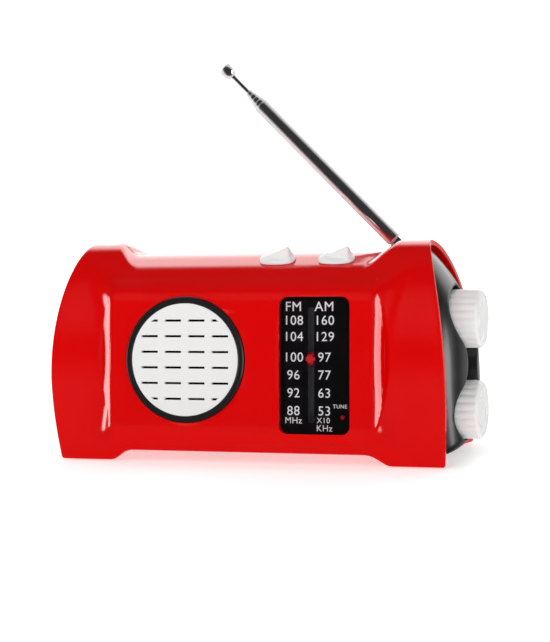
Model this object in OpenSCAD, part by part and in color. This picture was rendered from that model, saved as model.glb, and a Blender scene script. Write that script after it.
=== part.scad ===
// Hand-cranked emergency radio: a case with two raised ends, a speaker and a dial on its leaning front,
// two knobs on the right end, a torch on the left end, a crank on the back and a telescopic aerial.
// +X is the user's right, -Y is the front, +Z is up. The origin is the centre of the footprint.

/* [Case] */
// Half width of the red case, at the front and back tips of its ends
case_tip_x = 84; // [80:0.5:88]
// Half width of the red case at mid depth, where the ends are cut back
case_waist_x = 73.5; // [71:0.5:76]
// Half depth of the case, where it is deepest
case_half_y = 29.6; // [28.5:0.1:30.5]
// Height of the deepest point of the case's section
deepest_z = 33; // [30:1:36]
// Height of the raised ends
end_top_z = 88.5; // [87:0.5:91]
// Height of the middle's top surface, along its crown
middle_top_z = 84; // [83:0.5:85]
// Height of the middle's top surface, at its front edge
middle_edge_z = 80; // [79:0.5:81]
// Height of the middle's underside
middle_base_z = 5.2; // [4.5:0.1:6]
// Half length of the lower middle, where its slopes start
middle_x = 51; // [49:0.5:52]
// Half length at the top of the slopes
slope_top_x = 60; // [58:0.5:62]
// Wall thickness of the case
wall = 2.2; // [1.8:0.1:2.6]

/* [Front panel] */
// Angle that the front panel leans back
lean = 8; // [6:0.5:9]
// Half width of the flat front panel
panel_x = 56; // [55:0.5:57]
// Speaker opening's radius
speaker_r = 22.9; // [22:0.1:23.5]
// Speaker centre, across the panel
speaker_x = -23; // [-24:0.5:-21]
// Dial window's width
window_w = 29; // [27:0.5:30]
// Dial window's height
window_h = 54.4; // [52:0.2:56]
// Dial window's centre, across the panel
window_x = 31.6; // [30:0.1:33]

/* [Knobs] */
// Radius of both knobs
knob_r = 11.75; // [11:0.05:12.2]
// Distance of the knobs' outer faces from the centre
knob_face_x = 94; // [93:0.5:95]
// Radius of the knobs' shafts
shaft_r = 3; // [2.5:0.1:3.2]
// Degrees that the tuning shaft turns each way
tuning_turn = 135; // [120:5:150]

/* [Crank] */
// Distance from the crank's shaft to its grip
crank_reach = 25; // [22:0.5:26]
// Gear module of the generator's gears
gear_module = 0.7; // [0.6:0.05:0.75]

/* [Aerial] */
// Angle of the aerial above the horizontal
aerial_rise = 46; // [20:1:80]
// Outer radius of the widest tube
aerial_r = 3.3; // [3.1:0.1:3.4]
// Length of the widest tube
tube_length = 80; // [70:1:84]

/* [Hidden] */
$fn = 64;
tiny = 0.01;
running = 0.05;

red = [0.86, 0.02, 0.02];
black = [0.06, 0.06, 0.065];
white = [0.93, 0.93, 0.93];
steel = [0.72, 0.73, 0.75];
brass = [0.8, 0.63, 0.3];
board_green = [0.05, 0.32, 0.16];

foot_z = 0.6;
section_power = 1.9;
section_lower = 78;
panel_proud = 2;
panel_mid_z = 45;
ring_r = 25.5;
speaker_z = -1.3;
knob_back_y = 26.5;
knob_high_z = 15.4;
knob_low_z = -21;
knob_depth = 15;
knob_edge = 1.8;
pocket_r = 13.4;
pocket_floor_x = 77.5;
cap_back_x = 70;
dome_start_x = 71;
dome_x = 90;
dome_side = 22;
dome_slope = 20;
dome_crest = 13;
dome_base = 10;
dial_z = -3.3;
track_x = 29.2;
drum_r = 7.64;
drum_x = 51;
switch_xs = [11.3, 36.3];
strip_inner_y = 4.5;
strip_inner_z = middle_top_z - 0.5;
crank_x = -14;
crank_z = 44;
dish_r = 33;
dish_y = 22.5;
grip_end_y = 35.8;
drive_teeth = 60;
small_teeth = 12;
idler_teeth = 50;
pinion_teeth = 10;
idler_x = crank_x + gear_module * (drive_teeth + small_teeth) / 2;
pinion_x = idler_x + gear_module * (idler_teeth + pinion_teeth) / 2;
gear_axle_r = 1.5;
plate_y = 3;
plate_thick = 1.6;
low_gear_y = 6;
high_gear_y = 12;
gear_thick = 4;
aerial_x = 58;
aerial_y = 18;
aerial_z = 82.3;
tube_start = 6.5;
tube_step = 0.42;
screws = [[-48, 74, 15.5], [48, 74, 15.5], [-56, 11, 24.5], [56, 11, 24.5]];

// ---- the case's outline ----

function section_half(z, inset) =
    let (reach = z > deepest_z ? end_top_z - deepest_z - inset : section_lower)
    let (part = min(1, abs(z - deepest_z) / reach))
    (case_half_y - inset) * pow(1 - pow(part, section_power), 1 / section_power);

// Side view of the case: wide and upright below, narrowing to a round crest.
module case_section(inset) {
    steps = 22;
    top = end_top_z - inset;
    heights = [for (i = [0:steps]) foot_z + inset + (top - foot_z - inset) * sin(90 * i / steps)];
    polygon(concat(
        [for (z = heights) [-section_half(z, inset), z]],
        [for (i = [steps:-1:0]) [section_half(heights[i], inset), heights[i]]]
    ));
}

// Front view of the case: the middle is lower than the two ends.
module case_front(inset, reach) {
    rise = end_top_z + 1;
    drop = (slope_top_x - middle_x) * 1.1 + inset * 0.4;
    polygon([
        [-reach, foot_z + inset], [-slope_top_x + 1 - inset, foot_z + inset],
        [-slope_top_x + drop - 2, middle_base_z + inset], [slope_top_x - drop + 2, middle_base_z + inset],
        [slope_top_x - 1 + inset, foot_z + inset], [reach, foot_z + inset], [reach, rise],
        [slope_top_x + inset * 0.5, rise], [slope_top_x + inset * 0.5, end_top_z - inset],
        [middle_x + inset * 0.5, middle_edge_z - inset], [-middle_x - inset * 0.5, middle_edge_z - inset],
        [-slope_top_x - inset * 0.5, end_top_z - inset], [-slope_top_x - inset * 0.5, rise], [-reach, rise]
    ]);
}

// The crowned top of the middle, seen from the side.
module middle_crown(inset) {
    polygon([
        [-strip_outer_y - 4, middle_edge_z - 8 - inset], [-strip_outer_y, middle_edge_z - inset],
        [-strip_inner_y, strip_inner_z - inset], [0, middle_top_z - inset],
        [strip_inner_y, strip_inner_z - inset], [strip_outer_y, middle_edge_z - inset],
        [strip_outer_y + 4, middle_edge_z - 8 - inset]
    ]);
}

strip_outer_y = section_half(middle_edge_z, 0) - 0.5;
strip_slope = atan2(strip_inner_z - middle_edge_z, strip_outer_y - strip_inner_y);

// Places its children on the sloping strip in front of the crown, where the switches sit.
module on_strip(x) {
    translate([x, -(strip_outer_y + strip_inner_y) / 2, (middle_edge_z + strip_inner_z) / 2])
        rotate([strip_slope, 0, 0]) children();
}

function end_cut(y) =
    case_waist_x + (case_tip_x - case_waist_x) * pow(abs(y) / case_half_y, 1.45);

// Plan of the case: each end is hollowed so that its front and back tips reach furthest.
module case_plan() {
    ys = [for (i = [-10:10]) case_half_y * i / 10];
    polygon(concat(
        [[-case_tip_x, -60]], [[case_tip_x, -60]],
        [for (y = ys) [end_cut(y), y]],
        [[case_tip_x, 60]], [[-case_tip_x, 60]],
        [for (i = [20:-1:0]) [-end_cut(ys[i]), ys[i]]]
    ));
}

module along_x(length) {
    translate([-length / 2, 0, 0]) rotate([90, 0, 90]) linear_extrude(length) children();
}

module along_y(length) {
    translate([0, length / 2, 0]) rotate([90, 0, 0]) linear_extrude(length) children();
}

// Places its children in the panel's frame: the panel's plane is upright there.
module on_panel() {
    translate([0, -case_half_y + 0.6, panel_mid_z]) rotate([-lean, 0, 0]) children();
}

// The raised flat panel and its sloping sides.
module panel_block(inset) {
    depth = 12;
    spread = 15;
    hull() {
        translate([-panel_x + inset, -panel_proud + inset, -33 + inset])
            cube([2 * (panel_x - inset), tiny, 60 - 2 * inset]);
        translate([-panel_x - spread + inset, depth, -41 + inset])
            cube([2 * (panel_x + spread - inset), 1, 77 - 2 * inset]);
    }
}

module case_block(inset, reach) {
    intersection() {
        union() {
            along_x(2 * reach) case_section(inset);
            intersection() {
                on_panel() panel_block(inset);
                translate([0, 0, foot_z]) cube([400, 400, 172], center = true);
            }
        }
        union() {
            along_y(120) case_front(inset, reach);
            intersection() {
                along_x(2 * (middle_x + 3)) middle_crown(inset);
                translate([0, 0, 90]) cube([2 * (middle_x + 3), 90, 30], center = true);
            }
        }
    }
}

// Curved scoops at both sides of the panel: an upright wall, and a floor that ramps outwards.
module panel_scoops() {
    half = 29;
    steps = 12;
    deep = 7;
    slant = 1.3;
    rings = [for (i = [0:steps]) let (a = 180 * i / steps) [-half * cos(a), 0.2 + deep * sin(a)]];
    points = [for (r = rings) each [
        [panel_x, -panel_proud - 6, r[0]],
        [panel_x, -panel_proud + r[1], r[0]],
        [panel_x + slant * (r[1] + 6), -panel_proud - 6, r[0]]
    ]];
    sides = [for (i = [0:steps - 1]) for (k = [0:2])
        [3 * i + k, 3 * i + (k + 1) % 3, 3 * i + 3 + (k + 1) % 3, 3 * i + 3 + k]];
    last = 3 * steps;
    for (side = [0, 1]) mirror([side, 0, 0])
        polyhedron(points, concat(sides, [[2, 1, 0]], [[last, last + 1, last + 2]]));
}

module end_trim() {
    translate([0, 0, -5]) linear_extrude(110) case_plan();
}

module screw_bosses() {
    for (s = screws)
        translate([s[0], 0, s[1]]) rotate([90, 0, 0]) cylinder(r = 3.6, h = 70, center = true);
}

module screw_holes() {
    for (s = screws) {
        translate([s[0], -12, s[1]]) rotate([-90, 0, 0]) cylinder(r = 1.5, h = 60, $fn = 24);
        translate([s[0], s[2] - 0.2, s[1]]) rotate([-90, 0, 0]) cylinder(r = 2.9, h = 30, $fn = 32);
    }
}

module switch_slots() {
    for (x = switch_xs)
        on_strip(x) cube([10.4, 3.4, 12], center = true);
}

// Keeps a sculpted shell as one closed surface.
module one_surface() {
    resize([0, 0, 0]) children();
}

module whole_case() {
    difference() {
        intersection() {
            case_block(0, 90);
            end_trim();
        }
        on_panel() panel_scoops();
    }
}

// The case's walls, with what is moulded inside them.
module case_walls() {
    difference() {
        whole_case();
        difference() {
            case_block(wall, 90);
            screw_bosses();
            on_panel() for (side = [-1, 1])
                translate([side * 58.5, 2.5, 0]) cube([9.5, 13, 62], center = true);
            translate([crank_x, dish_y - wall, crank_z]) rotate([-90, 0, 0])
                cylinder(r = dish_r + wall, h = 20);
        }
        screw_holes();
        switch_slots();
    }
}

module front_shell() {
    color(red) one_surface() difference() {
        intersection() {
            case_walls();
            translate([-100, -60, 0]) cube([200, 60, 100]);
        }
        on_panel() {
            translate([speaker_x, 10, speaker_z]) rotate([90, 0, 0]) cylinder(r = ring_r + 0.1, h = 20);
            translate([window_x, 6, dial_z]) rounded_plate(window_w + 0.3, window_h + 0.3, 3.4, 16);
        }
        battery_opening(0.3);
    }
}

module rear_shell() {
    color(red) one_surface() difference() {
        intersection() {
            case_walls();
            translate([-100, 0, 0]) cube([200, 60, 100]);
        }
        translate([crank_x, dish_y, crank_z]) rotate([-90, 0, 0]) cylinder(r = dish_r, h = 20);
        translate([crank_x, 0, crank_z]) rotate([-90, 0, 0]) cylinder(r = 4.2, h = 40, $fn = 48);
        translate([aerial_x, aerial_y, 50]) cylinder(r = 6.7, h = 50, $fn = 48);
        jack_openings();
        battery_opening(0.3);
    }
}

// ---- the ends ----

// A domed plug that fills the end of the case. Its outline shrinks faster the further it stands out,
// and its top falls away more than its sides and its base.
module cap_block(inset) {
    hull() {
        translate([cap_back_x, 0, 0]) cap_slice(inset, inset, inset);
        for (i = [0:5]) let (turn = 15 * i + 15)
            translate([dome_start_x + (dome_x - dome_start_x) * sin(turn) - inset, 0, 0]) cap_slice(
                inset + dome_side * (1 - cos(turn)),
                inset + dome_slope * sin(turn) + dome_crest * (1 - cos(turn)),
                inset + dome_base * (1 - cos(turn))
            );
    }
}

// One cross-section of the plug, brought in by different amounts at its sides, top and base.
module cap_slice(side, top, base) {
    steps = 14;
    gap = wall + 0.2;
    low = foot_z + gap + base;
    high = end_top_z - gap - top;
    heights = [for (i = [0:steps]) low + (high - low) * sin(90 * i / steps)];
    function half(z) =
        let (reach = z > deepest_z ? high - deepest_z : section_lower)
        let (part = min(1, abs(z - deepest_z) / reach))
        (case_half_y - gap - side) * pow(1 - pow(part, section_power), 1 / section_power);
    rotate([90, 0, 90]) linear_extrude(tiny) polygon(concat(
        [for (z = heights) [-half(z), z]],
        [for (i = [steps:-1:0]) [half(heights[i]), heights[i]]]
    ));
}

module knob_axes() {
    on_panel() for (z = [knob_high_z, knob_low_z]) translate([0, knob_back_y, z]) children();
}

module pocket(radius, floor_x) {
    hull() knob_axes() translate([floor_x, 0, 0]) rotate([0, 90, 0])
        cylinder(r = radius / 2, h = 30, $fn = 32);
    knob_axes() translate([floor_x, 0, 0]) rotate([0, 90, 0]) cylinder(r = radius, h = 30, $fn = 48);
}

module control_end_cap() {
    color(black) one_surface() difference() {
        cap_block(0);
        difference() {
            translate([-tiny, 0, 0]) cap_block(2);
            pocket(pocket_r + 1.8, pocket_floor_x - 1.8);
        }
        pocket(pocket_r, pocket_floor_x);
        knob_axes() translate([60, 0, 0]) rotate([0, 90, 0]) cylinder(r = shaft_r + 0.4, h = 40, $fn = 32);
    }
}

torch_z = 44;
torch_r = 15;
lens_bulge_r = 21.5;

module torch_axis() {
    translate([0, 0, torch_z]) rotate([0, -90, 0]) children();
}

module torch_end_cap() {
    color(black) one_surface() difference() {
        mirror([1, 0, 0]) cap_block(0);
        translate([tiny, 0, 0]) mirror([1, 0, 0]) cap_block(2);
        torch_axis() translate([0, 0, 60]) cylinder(r = torch_r + 0.15, h = 60);
    }
}

module torch_reflector() {
    color(steel) torch_axis() translate([0, 0, 72]) rotate_extrude()
        polygon([[2.2, 0], [14.8, 11.5], [14.8, 14.2], [13.6, 14.2], [13.6, 12.2], [2.2, 1.6]]);
}

module torch_leds() {
    color(white) torch_axis() for (a = [90, 210, 330]) rotate(a) translate([5.6, 0, 78.5]) {
        cylinder(r = 1.5, h = 3, $fn = 32);
        translate([0, 0, 3]) sphere(r = 1.5, $fn = 32);
    }
}

module torch_lens() {
    color([0.85, 0.9, 0.95, 0.4]) torch_axis() intersection() {
        translate([0, 0, 94 - lens_bulge_r]) difference() {
            sphere(r = lens_bulge_r);
            sphere(r = lens_bulge_r - 1.6);
        }
        translate([0, 0, 86.4]) cylinder(r = torch_r, h = 10);
    }
}

// ---- the speaker ----

module on_speaker(y) {
    on_panel() translate([speaker_x, y, speaker_z]) rotate([90, 0, 0]) children();
}

module grille_ring() {
    color(black) on_speaker(1.4) rotate_extrude()
        polygon([[speaker_r, 0], [ring_r, 0], [ring_r, 4], [ring_r - 0.8, 4.7], [speaker_r, 4.2]]);
}

module speaker_grille() {
    rows = 6;
    row_pitch = 6.35;
    slot_pitch = 10.15;
    color(white) on_speaker(-1) difference() {
        cylinder(r = speaker_r - running, h = 1.6);
        intersection() {
            for (row = [0:rows - 1]) for (i = [-1.5:1.5])
                translate([i * slot_pitch, (row - (rows - 1) / 2) * row_pitch, 1])
                    cube([7.2, 0.9, 5], center = true);
            translate([0, 0, -1]) cylinder(r = 21.2, h = 5);
        }
    }
}

module speaker_frame() {
    color(steel) on_speaker(20) rotate_extrude()
        polygon([
            [4, 4], [12.5, 4], [13.2, 5], [21, 15.4], [25, 15.4], [25, 16.4], [20.4, 16.4],
            [12.2, 5.2], [4, 5.2]
        ]);
}

module speaker_cone() {
    color([0.15, 0.14, 0.13]) on_speaker(20) rotate_extrude()
        polygon([
            [0, 8.6], [5.8, 8.6], [17.5, 15], [20, 16.2],
            [20.3, 16.9], [17, 15.8], [5.6, 9.2], [0, 9.8]
        ]);
}

module speaker_magnet() {
    color(black) on_speaker(20) translate([0, 0, -3]) cylinder(r = 13, h = 6.8);
}

// ---- the dial ----

module rounded_plate(w, h, r, thick) {
    rotate([90, 0, 0]) linear_extrude(thick) {
        square([w - 2 * r, h], center = true);
        square([w, h - 2 * r], center = true);
        for (x = [-1, 1]) for (y = [-1, 1])
            translate([x * (w / 2 - r), y * (h / 2 - r)]) circle(r);
    }
}

module dial_window() {
    color([0.75, 0.8, 0.85, 0.25]) on_panel() translate([window_x, -0.7, dial_z])
        rounded_plate(window_w, window_h, 3.3, 1.4);
}

// The slot that the pointer runs in: its height and the middle of its height.
track_h = 46;
track_z = -3.2;

module dial_plate() {
    color(black) on_panel() difference() {
        translate([window_x, 2.6, dial_z]) rounded_plate(window_w + 4, window_h + 2, 1.5, 0.9);
        translate([track_x, 2, track_z]) cube([3, 4, track_h], center = true);
        translate([42.6, 2, -23.9]) rotate([90, 0, 0]) cylinder(r = 1.1, h = 4, center = true, $fn = 32);
    }
}

module dial_pointer() {
    color(red) on_panel() translate([track_x, 0, -0.7]) {
        translate([0, 2.7, 0]) cube([2.4, 3.6, 3.4], center = true);
        translate([0, 4.9, 0]) cube([5, 1.4, 5], center = true);
        translate([0.3, 0.6, 0]) cube([3.8, 0.7, 1.6], center = true);
    }
}

// The grey strip seen through the dial's track, behind the pointer.
module dial_backing() {
    color([0.35, 0.35, 0.36]) on_panel() translate([track_x, 6.1, track_z])
        cube([7, 0.5, track_h + 2], center = true);
}

cord_y = 7;
cord_top_z = 24;
cord_low_z = -29;
pulley_r = 2;

module rod(from, to, radius) {
    run = to - from;
    length = norm(run);
    translate(from) rotate([0, acos(run[2] / length), atan2(run[1], run[0])])
        cylinder(r = radius, h = length, $fn = 16);
}

// The cord's straight runs: down the track, across to the drum, and back round the drum.
module dial_cord() {
    drum_top = [drum_x, knob_back_y - 1, knob_high_z + drum_r + 0.4];
    drum_low = [drum_x, knob_back_y - 5, knob_high_z - drum_r + 1];
    color([0.85, 0.82, 0.7]) on_panel() {
        rod([track_x, cord_y, cord_low_z + pulley_r], [track_x, cord_y, cord_top_z - pulley_r], 0.3);
        rod([track_x + pulley_r, cord_y, cord_top_z], [drum_x - pulley_r, cord_y, cord_top_z], 0.3);
        rod([track_x + pulley_r, cord_y, cord_low_z], [drum_x - pulley_r, cord_y, cord_low_z], 0.3);
        rod([drum_x, cord_y + pulley_r, cord_top_z], drum_top, 0.3);
        rod([drum_x, cord_y + pulley_r, cord_low_z + 1], drum_low, 0.3);
    }
}

module cord_pulleys() {
    color(white) on_panel() for (x = [track_x, drum_x]) for (z = [cord_top_z, cord_low_z])
        translate([x, cord_y, z]) difference() {
            rotate([90, 0, 0]) cylinder(r = pulley_r - 0.4, h = 1.4, center = true, $fn = 32);
            rotate([90, 0, 0]) cylinder(r = 0.6, h = 4, center = true, $fn = 24);
        }
}

module tuning_lamp() {
    color([0.8, 0.05, 0.05]) on_panel() translate([42.6, 6, -23.9]) rotate([90, 0, 0]) {
        cylinder(r = 1, h = 4.6, $fn = 32);
        translate([0, 0, 4.6]) sphere(r = 1, $fn = 32);
    }
}

// ---- knobs and their controls ----

module on_knob(z, x) {
    on_panel() translate([x, knob_back_y, z]) rotate([0, 90, 0]) children();
}

module knob(z) {
    flutes = 22;
    color(white) on_knob(z, knob_face_x - knob_depth) difference() {
        rotate_extrude() polygon(concat(
            [[shaft_r + running, 0], [knob_r, 0]],
            [for (a = [0:10:90]) [knob_r - knob_edge * (1 - cos(a)), knob_depth - knob_edge * (1 - sin(a))]],
            [[0, knob_depth], [0, 9], [shaft_r + running, 9]]
        ));
        for (i = [0:flutes - 1]) rotate(360 * i / flutes)
            translate([knob_r + 0.6, 0, -1]) cylinder(r = 1, h = knob_depth - 2, $fn = 24);
    }
}

module knob_shaft(z, back_x) {
    color(steel) on_knob(z, back_x) cylinder(r = shaft_r, h = knob_face_x - knob_depth + 8.9 - back_x);
}

module tuning_knob() knob(knob_high_z);
module volume_knob() knob(knob_low_z);

// The tuning shaft carries the drum that pulls the dial cord.
module tuning_shaft() {
    knob_shaft(knob_high_z, drum_x - 3);
    color(steel) on_knob(knob_high_z, drum_x - 2) cylinder(r = drum_r, h = 4);
}

module volume_shaft() {
    knob_shaft(knob_low_z, 59);
}

module tuning_capacitor() {
    color([0.85, 0.85, 0.8]) on_knob(knob_high_z, 60) difference() {
        translate([-10, -10, 0]) cube([20, 20, 11]);
        translate([0, 0, -1]) cylinder(r = shaft_r + running, h = 14);
    }
}

module volume_control() {
    color(steel) on_knob(knob_low_z, 61) difference() {
        cylinder(r = 8.2, h = 8);
        translate([0, 0, -1]) cylinder(r = shaft_r + running, h = 14);
    }
}

// ---- slide switches on the top ----

module switch_cap(x) {
    color(white) on_strip(x) {
        hull() for (s = [-1, 1]) translate([s * 3.2, 0, 0.2]) cylinder(r1 = 4.4, r2 = 4, h = 1.6, $fn = 40);
        hull() {
            translate([-5, 0, 1.4]) cylinder(r = 0.9, h = 0.5, $fn = 24);
            translate([4.2, 0, 1.4]) cylinder(r = 2.2, h = 4.2, $fn = 24);
        }
        translate([0, 0, -3]) cube([4, 2.6, 7], center = true);
    }
}

module switch_body(x) {
    color(steel) on_strip(x) translate([0, 0, -7.4]) difference() {
        cube([12, 6, 5], center = true);
        translate([0, 0, 2]) cube([10.4, 3.4, 5.4], center = true);
    }
}

module band_switch_cap() switch_cap(switch_xs[1]);
module power_switch_cap() switch_cap(switch_xs[0]);
module band_switch() switch_body(switch_xs[1]);
module power_switch() switch_body(switch_xs[0]);

// ---- electronics ----

board_y = 10.6;
ferrite_z = 65.8;

module circuit_board() {
    color(board_green) on_panel() translate([10, board_y, -31]) cube([39.5, 1.6, 56]);
}

module board_components() {
    chips = [
        [16, -20, 8, 10], [30, -22, 5, 5], [18, 0, 6, 4],
        [36, -2, 9, 9], [24, 14, 4, 7], [42, 16, 5, 5]
    ];
    color(black) on_panel() {
        for (c = chips) translate([c[0], board_y + 1.6, c[1]]) cube([c[2], 2.2, c[3]]);
        for (x = [15, 27, 45]) translate([x, board_y + 1.6, -12])
            rotate([-90, 0, 0]) cylinder(r = 2.5, h = 6);
    }
}

module ferrite_rod() {
    color([0.2, 0.18, 0.17]) translate([-58, -3, ferrite_z]) rotate([0, 90, 0]) cylinder(r = 4, h = 60);
}

module ferrite_coil() {
    color(brass) translate([-40, -3, ferrite_z]) rotate([0, 90, 0]) difference() {
        cylinder(r = 4.7, h = 18);
        translate([0, 0, -1]) cylinder(r = 4 + running, h = 20);
    }
}

cell_r = 5.2;
battery_x = -22;

module battery_pack() {
    color([0.2, 0.5, 0.25]) for (i = [-1:1])
        translate([battery_x - 22, i * (2 * cell_r + 0.2), 14.2]) rotate([0, 90, 0]) {
            cylinder(r = cell_r, h = 43);
            translate([0, 0, 43]) cylinder(r = 1.9, h = 1.2);
        }
}

door_w = 52;
door_d = 34;
door_thick = 2;

module battery_opening(gap) {
    translate([battery_x - door_w / 2 - gap, -door_d / 2 - gap, 0])
        cube([door_w + 2 * gap, door_d + 2 * gap, 8.2]);
}

// The door turns on its rounded rear edge.
module battery_door() {
    color(red) difference() {
        translate([battery_x - door_w / 2, 0, middle_base_z]) {
            translate([0, -door_d / 2, 0]) cube([door_w, door_d - door_thick / 2, door_thick]);
            translate([0, (door_d - door_thick) / 2, door_thick / 2]) rotate([0, 90, 0])
                cylinder(r = door_thick / 2, h = door_w);
        }
        translate([battery_x, -door_d / 2 + 4, middle_base_z]) for (i = [-2:2])
            translate([0, i * 1.4, 0]) cube([10, 0.6, 0.8], center = true);
    }
}

// ---- the crank and the generator's gears ----

pressure = 25;

function involute(angle) = tan(angle) * 180 / PI - angle;

module gear_outline(teeth) {
    pitch_r = gear_module * teeth / 2;
    base_r = pitch_r * cos(pressure);
    tip_r = pitch_r + 0.78 * gear_module;
    root_r = pitch_r - 1.1 * gear_module;
    start_r = max(base_r, root_r) + tiny;
    half = 90 / teeth - 0.09 * gear_module / pitch_r * 180 / PI;
    radii = [for (i = [0:3]) start_r + (tip_r - start_r) * i / 3];
    flank = [for (r = radii) [r, half + involute(pressure) - involute(acos(base_r / r))]];
    polygon([for (t = [0:teeth - 1]) each concat(
        [root_r * [cos(360 * t / teeth - flank[0][1]), sin(360 * t / teeth - flank[0][1])]],
        [for (f = flank) f[0] * [cos(360 * t / teeth - f[1]), sin(360 * t / teeth - f[1])]],
        [for (i = [3:-1:0]) let (angle = 360 * t / teeth + flank[i][1])
            flank[i][0] * [cos(angle), sin(angle)]],
        [root_r * [cos(360 * t / teeth + flank[0][1]), sin(360 * t / teeth + flank[0][1])]]
    )]);
}

module gear(x, y, teeth, bore, turn) {
    translate([x, y + gear_thick, crank_z]) rotate([90, 0, 0]) difference() {
        linear_extrude(gear_thick) rotate(turn) gear_outline(teeth);
        translate([0, 0, -1]) cylinder(r = bore, h = gear_thick + 2);
    }
}

module drive_gear() {
    color(white) gear(crank_x, high_gear_y, drive_teeth, shaft_r + running, 0);
}

module idler_gear() {
    color(white) {
        gear(idler_x, low_gear_y, idler_teeth, gear_axle_r + running, 0);
        gear(idler_x, high_gear_y, small_teeth, gear_axle_r + running, 180 + 180 / small_teeth);
        translate([idler_x, high_gear_y, crank_z]) rotate([90, 0, 0]) difference() {
            cylinder(r = 3, h = high_gear_y - low_gear_y - gear_thick);
            translate([0, 0, -1]) cylinder(r = gear_axle_r + running, h = 6);
        }
    }
}

module idler_axle() {
    color(steel) translate([idler_x, plate_y, crank_z]) rotate([-90, 0, 0])
        cylinder(r = gear_axle_r, h = 14.6);
}

module generator() {
    color(steel) translate([pinion_x, plate_y, crank_z]) rotate([90, 0, 0]) difference() {
        cylinder(r = 12, h = 13);
        translate([0, 0, -1]) cylinder(r = 1 + running, h = 12);
    }
}

module generator_pinion() {
    color(brass) gear(pinion_x, low_gear_y, pinion_teeth, 1 - tiny, 180 + 180 / pinion_teeth);
    color(steel) translate([pinion_x, low_gear_y + gear_thick, crank_z]) rotate([90, 0, 0])
        cylinder(r = 1, h = 16);
}

module gear_plate() {
    color(steel) difference() {
        translate([-40, plate_y, 24]) cube([88, plate_thick, 40]);
        translate([crank_x, 0, crank_z]) rotate([-90, 0, 0]) cylinder(r = shaft_r + running, h = 10);
        translate([idler_x, 0, crank_z]) rotate([-90, 0, 0]) cylinder(r = gear_axle_r, h = 10);
        translate([pinion_x, 0, crank_z]) rotate([-90, 0, 0]) cylinder(r = 1.6, h = 10);
    }
}

module gear_plate_posts() {
    color(white) for (x = [-38, 46]) for (z = [27, 61])
        translate([x, plate_y + plate_thick, z]) rotate([-90, 0, 0]) cylinder(r = 1.8, h = x < 0 ? 12 : 14);
}

module crank_shaft() {
    color(steel) translate([crank_x, plate_y - 1.5, crank_z]) rotate([-90, 0, 0])
        cylinder(r = shaft_r, h = 25.8);
}

arm_y = 23.2;
arm_thick = 4.2;
grip_pin_r = 1.8;

module crank_arm() {
    color(black) difference() {
        translate([crank_x, arm_y, crank_z]) rotate([-90, 0, 0]) linear_extrude(arm_thick) {
            hull() {
                circle(8);
                translate([crank_reach, 0]) circle(6);
            }
        }
        translate([crank_x, arm_y - 1, crank_z]) rotate([-90, 0, 0]) cylinder(r = shaft_r, h = 5.1);
        translate([crank_x + crank_reach, arm_y - 1, crank_z]) rotate([-90, 0, 0])
            cylinder(r = grip_pin_r, h = 10);
    }
}

module grip_pin() {
    color(steel) translate([crank_x + crank_reach, arm_y + 0.4, crank_z]) rotate([-90, 0, 0])
        cylinder(r = grip_pin_r, h = grip_end_y - arm_y - 1.6);
}

module crank_grip() {
    length = grip_end_y - arm_y - arm_thick - 0.2;
    color(black) translate([crank_x + crank_reach, grip_end_y - length, crank_z]) rotate([-90, 0, 0])
        rotate_extrude() polygon([
            [grip_pin_r + running, 0], [5.4, 0], [6.4, 1], [6.4, length - 1.4], [5, length],
            [0, length], [0, length - 0.6], [grip_pin_r + running, length - 0.6]
        ]);
}

// ---- the aerial ----

module aerial_axis() {
    translate([aerial_x, aerial_y, aerial_z]) rotate([0, aerial_rise - 90, 0]) children();
}

module antenna_socket() {
    color(black) translate([aerial_x, aerial_y, 66]) difference() {
        cylinder(r = 6.5, h = 9.6);
        translate([0, 0, -1]) cylinder(r = 3 + running, h = 12);
    }
}

module antenna_turret() {
    color(steel) translate([aerial_x, aerial_y, 0]) {
        translate([0, 0, 67]) cylinder(r = 3, h = 9);
        difference() {
            translate([0, 0, 75.7]) cylinder(r = 5.4, h = aerial_z + 2.6 - 75.7);
            translate([-10, -1.9, 77.6]) cube([20, 3.8, 20]);
            translate([0, 0, aerial_z]) rotate([90, 0, 0]) cylinder(r = 1.5, h = 20, center = true);
        }
    }
}

module antenna_pin() {
    color(steel) translate([aerial_x, aerial_y + 5, aerial_z]) rotate([90, 0, 0]) cylinder(r = 1.5, h = 10);
}

module hollow_tube(radius, bore, from, length) {
    difference() {
        translate([0, 0, from]) cylinder(r = radius, h = length);
        translate([0, 0, from + 2]) cylinder(r = bore, h = length);
    }
}

function tube_r(i) = aerial_r - tube_step * i;
function tube_bore(i) = tube_r(i + 1) + running;
function tube_from(i) = tube_start + 2.2 * i;
function tube_end(i) = tube_start + tube_length + 1.9 * i;

module antenna_tube_1() {
    color(steel) aerial_axis() {
        difference() {
            union() {
                translate([-2.5, -1.8, 0]) cube([5, 3.6, tube_start]);
                rotate([90, 0, 0]) cylinder(r = 2.5, h = 3.6, center = true);
            }
            rotate([90, 0, 0]) cylinder(r = 1.5 + running, h = 10, center = true);
        }
        hollow_tube(aerial_r, tube_bore(0), tube_from(0), tube_length);
    }
}

module aerial_tube(i) {
    color(steel) aerial_axis() hollow_tube(tube_r(i), tube_bore(i), tube_from(i), tube_end(i) - tube_from(i));
}

module antenna_tube_2() aerial_tube(1);
module antenna_tube_3() aerial_tube(2);
module antenna_tube_4() aerial_tube(3);

// The last section is a solid rod that ends in a stepped knob.
module antenna_tip() {
    knob_at = 104;
    color(steel) aerial_axis() {
        translate([0, 0, tube_from(4)]) cylinder(r = tube_r(4), h = tube_end(4) - tube_from(4));
        translate([0, 0, tube_end(4) - 1]) cylinder(r = 1, h = knob_at - tube_end(4) + 2);
        translate([0, 0, knob_at]) cylinder(r1 = 1.6, r2 = 2.9, h = 2);
        translate([0, 0, knob_at + 2]) cylinder(r = 2.9, h = 3);
    }
}

// ---- sockets, feet and fasteners ----

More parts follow.
